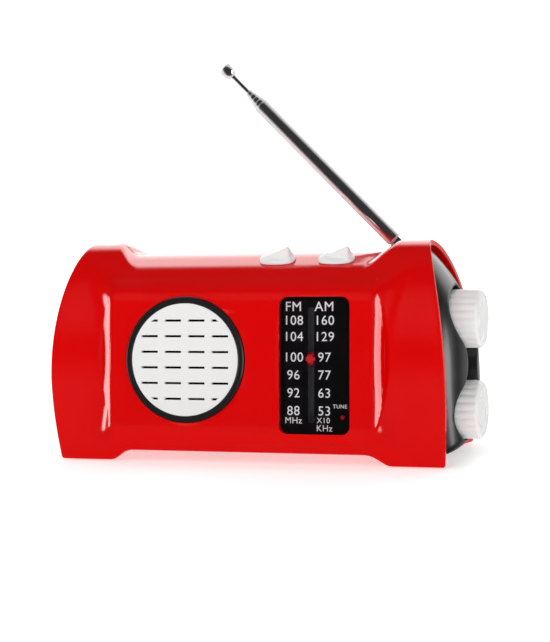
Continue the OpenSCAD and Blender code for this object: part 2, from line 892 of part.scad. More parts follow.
jack_x = 34;
jack_z = 30;
usb_z = 20;

module jack_openings() {
    translate([jack_x, 10, jack_z]) rotate([-90, 0, 0]) cylinder(r = 4.1, h = 30, $fn = 32);
    translate([jack_x, 25, usb_z]) cube([9.4, 20, 5.4], center = true);
}

module headphone_jack() {
    color(black) translate([jack_x, 14.6, jack_z]) rotate([-90, 0, 0]) difference() {
        cylinder(r = 4, h = 13.6);
        translate([0, 0, 0.8]) cylinder(r = 1.8, h = 14);
    }
}

module charging_jack() {
    color(steel) difference() {
        translate([jack_x, 22.5, usb_z]) cube([9, 9, 5], center = true);
        translate([jack_x, 24.5, usb_z]) cube([7.6, 9, 3.6], center = true);
    }
}

// The flap over the charging socket turns on its rounded lower edge.
module jack_cover() {
    width = 9;
    height = 5;
    half = 0.7;
    color(black) translate([jack_x - width / 2, 28.1, usb_z - height / 2]) {
        translate([0, -half, half]) cube([width, 2 * half, height - half]);
        translate([0, 0, half]) rotate([0, 90, 0]) cylinder(r = half, h = width);
    }
}

module case_screws() {
    color(steel) for (s = screws) translate([s[0], s[2], s[1]]) rotate([90, 0, 0]) difference() {
        union() {
            translate([0, 0, -1.8]) cylinder(r = 2.6, h = 1.8);
            cylinder(r = 1.3, h = s[2] + 9);
        }
        translate([0, 0, -2]) for (a = [0, 90]) rotate(a) cube([3, 0.7, 1.6], center = true);
    }
}

module rubber_feet() {
    color(black) for (x = [-68, 68]) for (y = [-18, 18])
        translate([x, y, 0]) cylinder(r = 4, h = foot_z);
}

front_shell();
rear_shell();
control_end_cap();
torch_end_cap();
torch_reflector();
torch_leds();
torch_lens();
grille_ring();
speaker_grille();
speaker_frame();
speaker_cone();
speaker_magnet();
dial_window();
dial_plate();
dial_pointer();
dial_backing();
dial_cord();
cord_pulleys();
tuning_lamp();
tuning_knob();
tuning_shaft();
tuning_capacitor();
volume_knob();
volume_shaft();
volume_control();
band_switch_cap();
band_switch();
power_switch_cap();
power_switch();
circuit_board();
board_components();
ferrite_rod();
ferrite_coil();
battery_pack();
battery_door();
crank_shaft();
crank_arm();
crank_grip();
grip_pin();
drive_gear();
idler_gear();
idler_axle();
generator();
generator_pinion();
gear_plate();
gear_plate_posts();
antenna_socket();
antenna_turret();
antenna_pin();
antenna_tube_1();
antenna_tube_2();
antenna_tube_3();
antenna_tube_4();
antenna_tip();
headphone_jack();
charging_jack();
jack_cover();
case_screws();
rubber_feet();
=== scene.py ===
"""Looks of a hand-cranked emergency radio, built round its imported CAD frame.

Lengths in this script are millimetres, and MM turns them into Blender's metres.
"""
import math

import bmesh
import bpy
import numpy as np
from mathutils import Matrix, Vector


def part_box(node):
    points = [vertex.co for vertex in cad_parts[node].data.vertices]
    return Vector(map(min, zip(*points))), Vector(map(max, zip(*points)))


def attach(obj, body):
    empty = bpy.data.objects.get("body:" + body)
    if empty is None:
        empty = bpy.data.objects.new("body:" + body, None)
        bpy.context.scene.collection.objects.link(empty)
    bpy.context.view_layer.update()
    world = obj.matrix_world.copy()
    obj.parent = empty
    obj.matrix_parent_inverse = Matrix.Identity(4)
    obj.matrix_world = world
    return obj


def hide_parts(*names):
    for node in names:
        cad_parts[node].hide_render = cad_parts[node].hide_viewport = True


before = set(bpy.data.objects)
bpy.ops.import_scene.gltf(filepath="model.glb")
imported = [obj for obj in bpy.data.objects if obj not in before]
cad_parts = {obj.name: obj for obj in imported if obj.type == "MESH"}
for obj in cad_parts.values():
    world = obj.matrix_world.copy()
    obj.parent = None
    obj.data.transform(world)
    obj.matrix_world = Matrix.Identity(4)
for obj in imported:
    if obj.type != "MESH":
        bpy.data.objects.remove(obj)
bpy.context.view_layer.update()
MM = 0.001


def node_box(name):
    """Lowest and highest corner of a CAD node, in millimetres."""
    low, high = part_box(name)
    return np.array(low) / MM, np.array(high) / MM


# ---- the case's driving sizes, read from the frame where it states them ----

FRONT_LOW, FRONT_HIGH = node_box("front_shell")
REAR_LOW, REAR_HIGH = node_box("rear_shell")
TIP_X = FRONT_HIGH[0]
TOP_Z = FRONT_HIGH[2]
FOOT_Z = FRONT_LOW[2]
HALF_Y = REAR_HIGH[1]
WAIST_X = 73.5
WAIST_POWER = 1.45
DEEPEST_Z = 33.0
SECTION_LOWER = 78.0
SECTION_POWER = 1.9
WALL = 2.2
MIDDLE_X = 51.0
SLOPE_TOP_X = 60.0
MIDDLE_BASE_Z = node_box("battery_door")[0][2]
MIDDLE_EDGE_Z = 80.0
CROWN_Z = 83.9
STRIP_INNER = (-4.5, 83.5)
STRIP_OUTER_Y = -14.4
LEAN = math.radians(8)
PANEL_X = 56.0
PANEL_PROUD = 2.0
PANEL_DEPTH = 13.0
PANEL_Z = 45.0
PANEL_SET_IN = 0.6
PANEL_RISE = 14.0
PANEL_SIDE_SPREAD = 15.0
PANEL_UP, PANEL_UP_SPREAD = 27.5, 9.0
PANEL_DOWN, PANEL_DOWN_SPREAD = 33.0, 8.0
SCOOP_HALF = 29.0
SCOOP_DEEP = 7.0
SCOOP_SLANT = 1.3
SCOOP_WALL_RIGHT = math.radians(50)
SCOOP_WALL_LEFT = math.radians(35)
SEAM_STEP = 0.25
SEAM_ANGLE = math.radians(0.45)
RIM_LIP = 0.55

PANEL = Matrix.Translation((0, -HALF_Y + PANEL_SET_IN, PANEL_Z)) @ Matrix.Rotation(-LEAN, 4, "X")


# ---- materials ----

class Shader:
    """A material's node tree, with short calls for the nodes used here."""

    def __init__(self, name):
        self.material = bpy.data.materials.new(name)
        self.material.use_nodes = True
        self.tree = self.material.node_tree
        self.base = self.tree.nodes["Principled BSDF"]

    def add(self, kind, **values):
        node = self.tree.nodes.new(kind)
        for key, value in values.items():
            if hasattr(node, key):
                setattr(node, key, value)
            else:
                node.inputs[key.replace("_", " ").title()].default_value = value
        return node

    def link(self, source, target):
        self.tree.links.new(source, target)

    def set(self, **values):
        for key, value in values.items():
            self.base.inputs[key.replace("_", " ")].default_value = value
        return self

    def object_noise(self, scale, detail=2.0):
        coords = self.add("ShaderNodeTexCoord")
        noise = self.add("ShaderNodeTexNoise", Scale=scale, Detail=detail)
        self.link(coords.outputs["Object"], noise.inputs["Vector"])
        return noise

    def vary_roughness(self, low, high, scale):
        noise = self.object_noise(scale, 4.0)
        spread = self.add("ShaderNodeMapRange")
        spread.inputs["To Min"].default_value = low
        spread.inputs["To Max"].default_value = high
        self.link(noise.outputs["Fac"], spread.inputs["Value"])
        self.link(spread.outputs["Result"], self.base.inputs["Roughness"])
        return self

    def bump(self, height, strength, distance_mm):
        node = self.add("ShaderNodeBump")
        node.inputs["Strength"].default_value = strength
        node.inputs["Distance"].default_value = distance_mm * MM
        self.link(height, node.inputs["Height"])
        self.link(node.outputs["Normal"], self.base.inputs["Normal"])
        return self

    def paint_edge_highlight(self, colour, edge_highlight, amount):
        """Mixes a paler colour in where the surface bends sharply: a painted highlight along the edges."""
        geometry = self.add("ShaderNodeNewGeometry")
        ramp = self.add("ShaderNodeMapRange")
        ramp.inputs["From Min"].default_value = 0.52
        ramp.inputs["From Max"].default_value = 0.62
        ramp.inputs["To Max"].default_value = amount
        mix = self.add("ShaderNodeMix", data_type="RGBA")
        mix.inputs["A"].default_value = colour
        mix.inputs["B"].default_value = edge_highlight
        self.link(geometry.outputs["Pointiness"], ramp.inputs["Value"])
        self.link(ramp.outputs["Result"], mix.inputs["Factor"])
        self.link(mix.outputs["Result"], self.base.inputs["Base Color"])
        return self


def glossy_plastic(name, colour, roughness, edge_highlight=None, peel=0.02):
    shader = Shader(name)
    shader.set(Base_Color=colour, IOR=1.5, Coat_Weight=0.15, Coat_Roughness=0.05)
    shader.vary_roughness(roughness * 0.8, roughness * 1.3, 60)
    shader.bump(shader.object_noise(900).outputs["Fac"], peel, 0.2)
    # A paler colour on the sharp edges: a painted edge highlight.
    if edge_highlight:
        shader.paint_edge_highlight(colour, edge_highlight, 0.5)
    return shader.material


def satin_plastic(name, colour, roughness, grain=1500, strength=0.12):
    shader = Shader(name)
    shader.set(Base_Color=colour, IOR=1.48)
    shader.vary_roughness(roughness * 0.85, roughness * 1.15, 120)
    shader.bump(shader.object_noise(grain).outputs["Fac"], strength, 0.1)
    return shader.material


def metal(name, colour, roughness, grain=400, strength=0.02):
    shader = Shader(name)
    shader.set(Base_Color=colour, Metallic=1.0)
    shader.vary_roughness(roughness * 0.7, roughness * 1.4, 90)
    shader.bump(shader.object_noise(grain).outputs["Fac"], strength, 0.1)
    return shader.material


def chrome(name, colour, roughness):
    """Polished plating with a painted reflection: dark where it faces the eye, pale towards its edges."""
    shader = Shader(name)
    shader.set(Base_Color=colour)
    shader.vary_roughness(roughness * 0.7, roughness * 1.4, 90)
    facing = shader.add("ShaderNodeLayerWeight")
    facing.inputs["Blend"].default_value = 0.5
    # Metallic falls away towards the edges so the pale base colour shows there: a painted reflection.
    edge = shader.add("ShaderNodeMapRange", interpolation_type="SMOOTHSTEP")
    edge.inputs["From Min"].default_value = 0.06
    edge.inputs["From Max"].default_value = 0.3
    edge.inputs["To Min"].default_value = 1.0
    edge.inputs["To Max"].default_value = 0.15
    shader.link(facing.outputs["Facing"], edge.inputs["Value"])
    shader.link(edge.outputs["Result"], shader.base.inputs["Metallic"])
    return shader.material


def milky_plastic(name, colour):
    shader = Shader(name)
    shader.set(Base_Color=colour, IOR=1.49, Subsurface_Weight=0.2, Subsurface_Scale=0.002)
    shader.set(Specular_IOR_Level=0.15)
    shader.vary_roughness(0.22, 0.34, 80)
    shader.bump(shader.object_noise(1200).outputs["Fac"], 0.03, 0.1)
    return shader.material


def clear_plastic(name, tint, strength):
    """A thin clear pane: mostly see-through, with a reflecting surface."""
    shader = Shader(name)
    tree = shader.tree
    output = tree.nodes["Material Output"]
    clear = shader.add("ShaderNodeBsdfTransparent")
    clear.inputs["Color"].default_value = tint
    gloss = shader.add("ShaderNodeBsdfGlossy")
    gloss.inputs["Roughness"].default_value = 0.03
    fresnel = shader.add("ShaderNodeFresnel")
    fresnel.inputs["IOR"].default_value = 1.45
    scale = shader.add("ShaderNodeMath", operation="MULTIPLY")
    scale.inputs[1].default_value = strength
    mix = shader.add("ShaderNodeMixShader")
    shader.link(fresnel.outputs["Fac"], scale.inputs[0])
    shader.link(scale.outputs["Value"], mix.inputs["Fac"])
    shader.link(clear.outputs["BSDF"], mix.inputs[1])
    shader.link(gloss.outputs["BSDF"], mix.inputs[2])
    shader.link(mix.outputs["Shader"], output.inputs["Surface"])
    return shader.material


RED = (0.70, 0.0003, 0.0005, 1)
# The paler red painted on the case's sharp edges as a highlight.
EDGE_HIGHLIGHT_RED = (0.9, 0.03, 0.02, 1)
BLACK = (0.012, 0.012, 0.013, 1)
WHITE = (0.86, 0.86, 0.855, 1)

LOOKS = {
    # The red case and the black caps get a painted highlight on their sharp edges.
    "red_case": glossy_plastic("red_case", RED, 0.13, EDGE_HIGHLIGHT_RED),
    "black_cap": glossy_plastic("black_cap", BLACK, 0.28, (0.06, 0.06, 0.06, 1), 0.05),
    "black_trim": satin_plastic("black_trim", BLACK, 0.38, 1800, 0.08),
    "white_grille": satin_plastic("white_grille", (0.84, 0.84, 0.835, 1), 0.42),
    "white_knob": milky_plastic("white_knob", WHITE),
    "white_switch": milky_plastic("white_switch", (0.88, 0.88, 0.875, 1)),
    "dial_black": satin_plastic("dial_black", (0.003, 0.003, 0.0035, 1), 0.6, 2500, 0.05),
    "dial_print": satin_plastic("dial_print", (0.85, 0.85, 0.85, 1), 0.5, 2500, 0.02),
    "track_grey": satin_plastic("track_grey", (0.09, 0.09, 0.095, 1), 0.4, 900, 0.1),
    "pointer_red": satin_plastic("pointer_red", (0.62, 0.01, 0.02, 1), 0.35),
    "lamp_red": glossy_plastic("lamp_red", (0.35, 0.01, 0.01, 1), 0.15),
    "dial_glass": clear_plastic("dial_glass", (0.97, 0.97, 0.98, 1), 0.2),
    "clear_lens": clear_plastic("clear_lens", (0.96, 0.98, 1.0, 1), 0.9),
    "led_lens": milky_plastic("led_lens", (0.9, 0.9, 0.7, 1)),
    "antenna_chrome": chrome("antenna_chrome", (0.86, 0.86, 0.87, 1), 0.1),
    "reflector": metal("reflector", (0.9, 0.9, 0.91, 1), 0.06, 300, 0.02),
    "plated_steel": metal("plated_steel", (0.6, 0.61, 0.63, 1), 0.28),
    "brass_pinion": metal("brass_pinion", (0.78, 0.55, 0.22, 1), 0.25),
    "copper_wire": metal("copper_wire", (0.72, 0.32, 0.12, 1), 0.3, 2500, 0.3),
    "magnet": satin_plastic("magnet", (0.04, 0.04, 0.045, 1), 0.6),
    "ferrite": satin_plastic("ferrite", (0.05, 0.045, 0.045, 1), 0.7),
    "cone_paper": satin_plastic("cone_paper", (0.01, 0.01, 0.01, 1), 0.85, 700, 0.3),
    "cord": satin_plastic("cord", (0.7, 0.65, 0.5, 1), 0.8),
    "nylon": satin_plastic("nylon", (0.75, 0.73, 0.66, 1), 0.45),
    "circuit_green": glossy_plastic("circuit_green", (0.01, 0.14, 0.05, 1), 0.3),
    "battery_wrap": glossy_plastic("battery_wrap", (0.05, 0.3, 0.1, 1), 0.35),
    "black_crank": satin_plastic("black_crank", (0.016, 0.016, 0.017, 1), 0.45, 1300, 0.25),
    "soft_rubber": satin_plastic("soft_rubber", (0.02, 0.02, 0.02, 1), 0.75, 1000, 0.35),
}


# ---- mesh helpers ----

def add_piece(name, points, faces, body, look, matrix=None, sharp=35):
    """A mesh piece from points in millimetres, riding on a body."""
    mesh = bpy.data.meshes.new(name)
    if matrix is not None:
        points = [matrix @ Vector(p) for p in points]
    mesh.from_pydata([Vector(p) * MM for p in points], [], faces)
    tidy = bmesh.new()
    tidy.from_mesh(mesh)
    bmesh.ops.remove_doubles(tidy, verts=tidy.verts, dist=1e-7)
    bmesh.ops.recalc_face_normals(tidy, faces=tidy.faces)
    tidy.to_mesh(mesh)
    tidy.free()
    piece = bpy.data.objects.new(name, mesh)
    bpy.context.scene.collection.objects.link(piece)
    shade(piece, sharp)
    mesh.materials.append(LOOKS[look])
    if body:
        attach(piece, body)
    return piece


def shade(piece, sharp):
    """Smooth shading, with edges sharper than so many degrees kept crisp."""
    mesh = piece.data
    mesh.shade_smooth()
    mesh.set_sharp_from_angle(angle=math.radians(sharp))


def grid_faces(rows, columns):
    """Faces between rows of points, where each row is a ring."""
    faces = []
    for i in range(rows - 1):
        for j in range(columns):
            k = (j + 1) % columns
            faces.append((i * columns + j, i * columns + k, (i + 1) * columns + k, (i + 1) * columns + j))
    return faces


def loft(name, rings, body, look, matrix=None, sharp=35, lids=True):
    """A piece through rings of equally many points, closed by a lid on its first and last ring."""
    count = len(rings[0])
    total = len(rings) * count
    faces = grid_faces(len(rings), count)
    if lids:
        faces += [tuple(reversed(range(count))), tuple(range(total - count, total))]
    return add_piece(name, [point for ring in rings for point in ring], faces, body, look, matrix, sharp)


def lathe(name, outline, body, look, matrix, segments=64, shape=None):
    """Turns an outline of (radius, height) about Z; shape(radius, height, angle) may move a radius."""
    rings = []
    for radius, height in outline:
        ring = []
        for j in range(segments):
            angle = 2 * math.pi * j / segments
            r = shape(radius, height, angle) if shape else radius
            ring.append((r * math.cos(angle), r * math.sin(angle), height))
        rings.append(ring)
    return loft(name, rings, body, look, matrix, lids=outline[0] != outline[-1])


def stands_for(node):
    """Hides a CAD node that a piece stands in for."""
    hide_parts(node)


def finish_cut(piece, body, node, sharp):
    """Shading and body for a piece that has been cut; the CAD node it stands for is hidden."""
    shade(piece, sharp)
    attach(piece, body)
    stands_for(node)


def evaluated_copy(piece):
    """Replaces a piece's mesh by what its modifiers make of it."""
    graph = bpy.context.evaluated_depsgraph_get()
    mesh = bpy.data.meshes.new_from_object(piece.evaluated_get(graph))
    piece.modifiers.clear()
    piece.data = mesh


def cut(piece, cutters):
    """Takes the cutters' space away from a piece."""
    for cutter in cutters:
        modifier = piece.modifiers.new("cut", "BOOLEAN")
        modifier.operation = "DIFFERENCE"
        modifier.solver = "EXACT"
        modifier.object = cutter
    evaluated_copy(piece)
    for cutter in cutters:
        bpy.data.objects.remove(cutter)


def outward(outline):
    """Unit normals that point out of a closed outline that runs anticlockwise."""
    points = np.array(outline)
    along = np.roll(points, -1, 0) - np.roll(points, 1, 0)
    normals = np.stack([along[:, 1], -along[:, 0]], -1)
    return normals / np.linalg.norm(normals, axis=1)[:, None]


def cutter(outline, levels, matrix):
    """A closed solid to cut with. Each level is (height, how far the outline grows there)."""
    rings = []
    flat = np.array(outline)
    normals = outward(outline)
    for height, grow in levels:
        moved = flat + normals * grow
        heights = height(moved) if callable(height) else np.full(len(moved), height)
        rings.append(np.column_stack([moved, heights]).tolist())
    return loft("cutter", rings, None, "red_case", matrix)


def opening(floor, surface, lip):
    """Levels for a hole from a floor out through a surface, with a softened lip where it leaves."""
    levels = [(floor, 0)]
    for rise, grow in [(-lip, 0), (-lip * 0.3, lip * 0.3), (0.02, lip * 1.05), (20, lip * 1.05)]:
        if callable(surface):
            levels.append((lambda p, rise=rise: surface(p) + rise, grow))
        else:
            levels.append((surface + rise, grow))
    return levels


def circle_points(radius, count=96):
    return [(radius * math.cos(2 * math.pi * i / count), radius * math.sin(2 * math.pi * i / count))
            for i in range(count)]


def rounded_rectangle(width, height, radius, steps=8):
    points = []
    corners = [(1, 1, 0), (-1, 1, 90), (-1, -1, 180), (1, -1, 270)]
    for sx, sy, start in corners:
        for i in range(steps + 1):
            angle = math.radians(start + 90 * i / steps)
            points.append((sx * (width / 2 - radius) + radius * math.cos(angle),
                           sy * (height / 2 - radius) + radius * math.sin(angle)))
    return points


# ---- the case's surface, as a signed distance to it ----

def smooth_min(a, b, k):
    h = np.clip(0.5 + 0.5 * (b - a) / k, 0, 1)
    return b * (1 - h) + a * h - k * h * (1 - h)


def smooth_max(a, b, k):
    return -smooth_min(-a, -b, k)


def barrel_distance(y, z):
    """Distance to the case's rounded section: an arch above, upright sides below."""
    above = z > DEEPEST_Z
    reach = np.where(above, TOP_Z - DEEPEST_Z, SECTION_LOWER)
    u = np.abs(y) / HALF_Y + 1e-9
    v = np.abs(z - DEEPEST_Z) / reach + 1e-9
    n = SECTION_POWER
    h = (u ** n + v ** n) ** (1 / n)
    gradient = np.hypot(h ** (1 - n) * u ** (n - 1) / HALF_Y, h ** (1 - n) * v ** (n - 1) / reach)
    return (h - 1) / gradient


def panel_coordinates(y, z):
    dy = y + HALF_Y - PANEL_SET_IN
    dz = z - PANEL_Z
    c, s = math.cos(LEAN), math.sin(LEAN)
    return dy * c - dz * s, dz * c + dy * s


def panel_distance(x, y, z):
    """Distance to the flat front panel and its sloping sides."""
    py, pz = panel_coordinates(y, z)
    face = -PANEL_PROUD - py

    def side(reach, edge, spread):
        slope = (reach - edge) * PANEL_RISE - (py + PANEL_PROUD) * spread
        return slope / math.hypot(PANEL_RISE, spread)

    block = smooth_max(face, side(np.abs(x), PANEL_X, PANEL_SIDE_SPREAD), 1.2)
    block = smooth_max(block, side(pz, PANEL_UP, PANEL_UP_SPREAD), 5.0)
    block = smooth_max(block, side(-pz, PANEL_DOWN, PANEL_DOWN_SPREAD), 5.0)
    return smooth_max(block, py - PANEL_DEPTH, 1.0)


def scoop_distance(x, y, z):
    """Positive inside the curved scoops at both sides of the panel."""
    py, pz = panel_coordinates(y, z)
    along = pz / SCOOP_HALF
    deep = np.where(np.abs(along) < 1, np.sqrt(np.clip(1 - along ** 2, 0, 1)), 1 - np.abs(along))
    floor = -PANEL_PROUD + SCOOP_DEEP * deep
    out = np.abs(x) - PANEL_X
    ramp = (SCOOP_SLANT * (floor - py) - out) / math.hypot(SCOOP_SLANT, 1)
    lean = np.where(np.asarray(x) > 0, SCOOP_WALL_RIGHT, SCOOP_WALL_LEFT)
    wall = out * np.sin(lean) - (py + PANEL_PROUD) * np.cos(lean)
    return smooth_min(np.minimum(wall, out), ramp, 0.3)


def top_distance(x, y, z):
    """Positive above the middle's crowned top and the slopes up to the ends."""
    run = STRIP_INNER[0] - STRIP_OUTER_Y
    rise = STRIP_INNER[1] - MIDDLE_EDGE_Z
    strip = ((z - MIDDLE_EDGE_Z) * run - (-np.abs(y) - STRIP_OUTER_Y) * rise) / math.hypot(run, rise)
    crown = smooth_max(strip, z - CROWN_Z, 1.6)
    slope_run = SLOPE_TOP_X - MIDDLE_X
    slope_rise = TOP_Z - MIDDLE_EDGE_Z
    slope = (z - MIDDLE_EDGE_Z) * slope_run - (np.abs(x) - MIDDLE_X) * slope_rise
    return smooth_min(crown, slope / math.hypot(slope_run, slope_rise), 1.6)


def base_distance(x, z):
    """Positive below the feet of the ends and the raised underside between them."""
    run, rise = 6.9, MIDDLE_BASE_Z - FOOT_Z
    ramp = ((SLOPE_TOP_X - 1 - np.abs(x)) * rise - (z - FOOT_Z) * run) / math.hypot(run, rise)
    return smooth_max(FOOT_Z - z, smooth_min(MIDDLE_BASE_Z - z, ramp, 1.5), 1.0)


def case_distance(x, y, z, scoops=True):
    body = smooth_min(barrel_distance(y, z), panel_distance(x, y, z), 4.0)
    body = smooth_max(body, top_distance(x, y, z), 1.5)
    body = smooth_max(body, base_distance(x, z), 1.2)
    if scoops:
        body = smooth_max(body, scoop_distance(x, y, z), 0.5)
    return body


def cavity_distance(x, y, z):
    """The hollow inside the case: walled, and kept clear of the scoops and the crank's dish."""
    hollow = case_distance(x, y, z, scoops=False) + WALL
    py, pz = panel_coordinates(y, z)
    scoop_block = np.maximum(np.maximum(np.abs(np.abs(x) - 58.5) - 5.5, py - 9), np.abs(pz) - 31)
    dish_block = np.maximum(np.hypot(x - CRANK_X, z - CRANK_Z) - DISH_R - WALL, DISH_Y - WALL - y)
    return np.maximum(np.maximum(hollow, -scoop_block), -dish_block)


CRANK_LOW, CRANK_HIGH = node_box("crank_shaft")
CRANK_X = (CRANK_LOW[0] + CRANK_HIGH[0]) / 2
CRANK_Z = (CRANK_LOW[2] + CRANK_HIGH[2]) / 2
DISH_R = 33.0
DISH_Y = 22.5
AXIS_Z = 45.0


def radial_hit(distance, x, angle, reach=64.0, samples=90):
    """How far from the case's middle line a ray at this angle first leaves the surface."""
    cy, cz = np.cos(angle), np.sin(angle)
    inner = np.zeros_like(x)
    outer = np.full_like(x, reach)
    found = np.zeros(x.shape, bool)
    for i in range(1, samples + 1):
        r = reach * i / samples
        out = distance(x, r * cy, AXIS_Z + r * cz) > 0
        fresh = out & ~found
        outer[fresh] = r
        inner[fresh] = reach * (i - 1) / samples
        found |= out
    for _ in range(22):
        middle = (inner + outer) / 2
        out = distance(x, middle * cy, AXIS_Z + middle * cz) > 0
        outer = np.where(out, middle, outer)
        inner = np.where(out, inner, middle)
    return (inner + outer) / 2


def end_cut(y):
    return WAIST_X + (TIP_X - WAIST_X) * np.minimum(np.abs(y) / HALF_Y, 1.02) ** WAIST_POWER


def shell_columns():
    """Places along X for the shell's columns: closer together where the shape bends."""
    stretches = [(0, 46, 12), (46, 55.2, 16), (55.2, 56.6, 12), (56.6, 62, 14), (62, 64, 3)]
    half = [0.0]
    for start, end, count in stretches:
        half += [start + (end - start) * (i + 1) / count for i in range(count)]
    tail = [(i + 1) / 9 for i in range(9)]
    return np.array(half), np.array(tail)


def resample(angles, radii, x, count):
    """Angles spread evenly along the section, and closer together round its bends."""
    y = radii * np.cos(angles)
    z = radii * np.sin(angles)
    step = np.hypot(np.diff(y), np.diff(z))
    heading = np.unwrap(np.arctan2(np.diff(z), np.diff(y)))
    turn = np.abs(np.diff(heading, prepend=heading[0]))
    weight = step + 5.0 * np.minimum(turn, 0.35)
    kernel = np.ones(15) / 15
    weight = np.convolve(np.pad(weight, 7, mode="edge"), kernel, mode="valid")
    travelled = np.concatenate([[0], np.cumsum(weight)])
    return np.interp(np.linspace(0, travelled[-1], count), travelled, angles)


def build_shell(name, back):
    """One half of the case: a closed, walled shell from the top seam round to the bottom seam."""
    rows = 150
    fine = 520
    half, tail = shell_columns()
    right = np.concatenate([half, 64 + tail])
    columns = np.concatenate([-right[::-1][:-1], right])
    sweep = np.linspace(math.pi / 2, -math.pi / 2 if back else 1.5 * math.pi, fine)

    def place(x_nominal, angle):
        """True X of each point: beyond 64 mm the columns spread out to meet the cut end."""
        share = np.clip(np.abs(x_nominal) - 64, 0, 1)
        plain = radial_hit(case_distance, np.full_like(angle, 75.0), angle)
        end = end_cut(plain * np.cos(angle))
        x = np.where(share > 0, 64 + (end - 64) * share, np.abs(x_nominal))
        return np.sign(x_nominal) * x

    xs = np.repeat(columns[:, None], fine, 1)
    angles = np.repeat(sweep[None, :], len(columns), 0)
    rough = radial_hit(case_distance, place(xs, angles), angles)
    spread = np.array([resample(sweep, rough[i], columns[i], rows) for i in range(len(columns))])
    for _ in range(2):
        spread[1:-1] = (spread[:-2] + 2 * spread[1:-1] + spread[2:]) / 4
    spread[:, 0] = sweep[0]
    spread[:, -1] = sweep[-1]
    spread[:, 1] = sweep[0] + np.sign(sweep[-1] - sweep[0]) * SEAM_ANGLE
    spread[:, -2] = sweep[-1] - np.sign(sweep[-1] - sweep[0]) * SEAM_ANGLE
    xs = np.repeat(columns[:, None], rows, 1)
    true_x = place(xs, spread)
    outer = radial_hit(case_distance, true_x, spread)
    inner = np.minimum(radial_hit(cavity_distance, true_x, spread), outer - 1.2)

    def ring(x, radius, angle):
        return np.stack([x, radius * np.cos(angle), AXIS_Z + radius * np.sin(angle)], -1)

    outer[:, 0] -= SEAM_STEP
    outer[:, -1] -= SEAM_STEP
    sign = np.sign(true_x)
    outer_x = true_x.copy()
    for end in (0, -1):
        outer_x[end] -= sign[end] * RIM_LIP
    body = ring(outer_x, outer, spread)

    def lip(end):
        soft = RIM_LIP * 0.3
        return [ring(true_x[end] - sign[end] * soft, outer[end] - soft, spread[end]),
                ring(true_x[end], outer[end] - RIM_LIP, spread[end])]

    inside = ring(true_x, inner, spread)
    loop = lip(0)[::-1] + list(body) + lip(-1) + list(inside[::-1])
    points = np.stack(loop).reshape(-1, 3)
    count = len(loop)
    across = len(body)
    faces = []
    for i in range(count):
        k = (i + 1) % count
        for j in range(rows - 1):
            faces.append((i * rows + j, i * rows + j + 1, k * rows + j + 1, k * rows + j))
    for j in (0, rows - 1):
        for i in range(across - 1):
            outside_pair = ((2 + i) * rows + j, (3 + i) * rows + j)
            inside_pair = ((2 * across + 2 - i) * rows + j, (2 * across + 3 - i) * rows + j)
            faces.append(outside_pair + inside_pair)
        faces.append((j, rows + j, 2 * rows + j, (count - 1) * rows + j))
        faces.append(tuple((across + 1 + i) * rows + j for i in range(4)))
    return add_piece(name, points.tolist(), faces, None, "red_case", None, 30)


# ---- the two halves of the case ----

SPEAKER_X, SPEAKER_Z = -23.0, -1.3
RING_R = 25.5
SPEAKER_R = 22.9
WINDOW_X, WINDOW_Z = 31.6, -3.3
WINDOW_W, WINDOW_H = 29.0, 54.4
SWITCH_XS = [sum(node_box(n)[k][0] for k in (0, 1)) / 2 for n in ("power_switch", "band_switch")]
SCREWS = [(-48, 74, 15.5), (48, 74, 15.5), (-56, 11, 24.5), (56, 11, 24.5)]
DOOR_LOW, DOOR_HIGH = node_box("battery_door")
SOCKET_LOW, SOCKET_HIGH = node_box("antenna_socket")
AERIAL_X, AERIAL_Y = (SOCKET_LOW[:2] + SOCKET_HIGH[:2]) / 2
JACK_LOW, JACK_HIGH = node_box("headphone_jack")
JACK_X, JACK_Z = (JACK_LOW[0] + JACK_HIGH[0]) / 2, (JACK_LOW[2] + JACK_HIGH[2]) / 2
USB_LOW, USB_HIGH = node_box("charging_jack")
USB_Z = (USB_LOW[2] + USB_HIGH[2]) / 2

ON_PANEL = Matrix.Rotation(math.pi / 2, 4, "X")
ON_BACK = Matrix.Rotation(-math.pi / 2, 4, "X")


def panel_place(x, z, y=0.0):
    """On the panel, with local +Z pointing out at the user."""
    return PANEL @ Matrix.Translation((x, y, z)) @ ON_PANEL


def back_place(x, z, y=0.0):
    """On the back, with local +Z pointing backwards."""
    return Matrix.Translation((x, y, z)) @ ON_BACK


def strip_place(x):
    """On the sloping strip in front of the crown, where the switches sit."""
    slope = math.atan2(STRIP_INNER[1] - MIDDLE_EDGE_Z, STRIP_INNER[0] - STRIP_OUTER_Y)
    middle = ((STRIP_INNER[0] + STRIP_OUTER_Y) / 2, (STRIP_INNER[1] + MIDDLE_EDGE_Z) / 2)
    return Matrix.Translation((x, *middle)) @ Matrix.Rotation(slope, 4, "X")


def door_cutter():
    size = DOOR_HIGH - DOOR_LOW
    middle = (DOOR_HIGH + DOOR_LOW) / 2
    outline = rounded_rectangle(size[0] + 0.6, size[1] + 0.6, 0.6)
    return cutter(outline, [(-2, 0), (8.2, 0)], Matrix.Translation((middle[0], middle[1], 0)))


def back_surface(x, z):
    """Function of local outline points that gives the Y of the case's back there."""
    def height(points):
        px, pz = points[:, 0] + x, z - points[:, 1]
        low, high = np.full(len(px), 2.0), np.full(len(px), 45.0)
        for _ in range(30):
            middle = (low + high) / 2
            out = case_distance(px, middle, pz) > 0
            high = np.where(out, middle, high)
            low = np.where(out, low, middle)
        return low
    return height


def back_hole(outline, x, z, floor, lip):
    return cutter(outline, opening(floor, back_surface(x, z), lip), back_place(x, z))


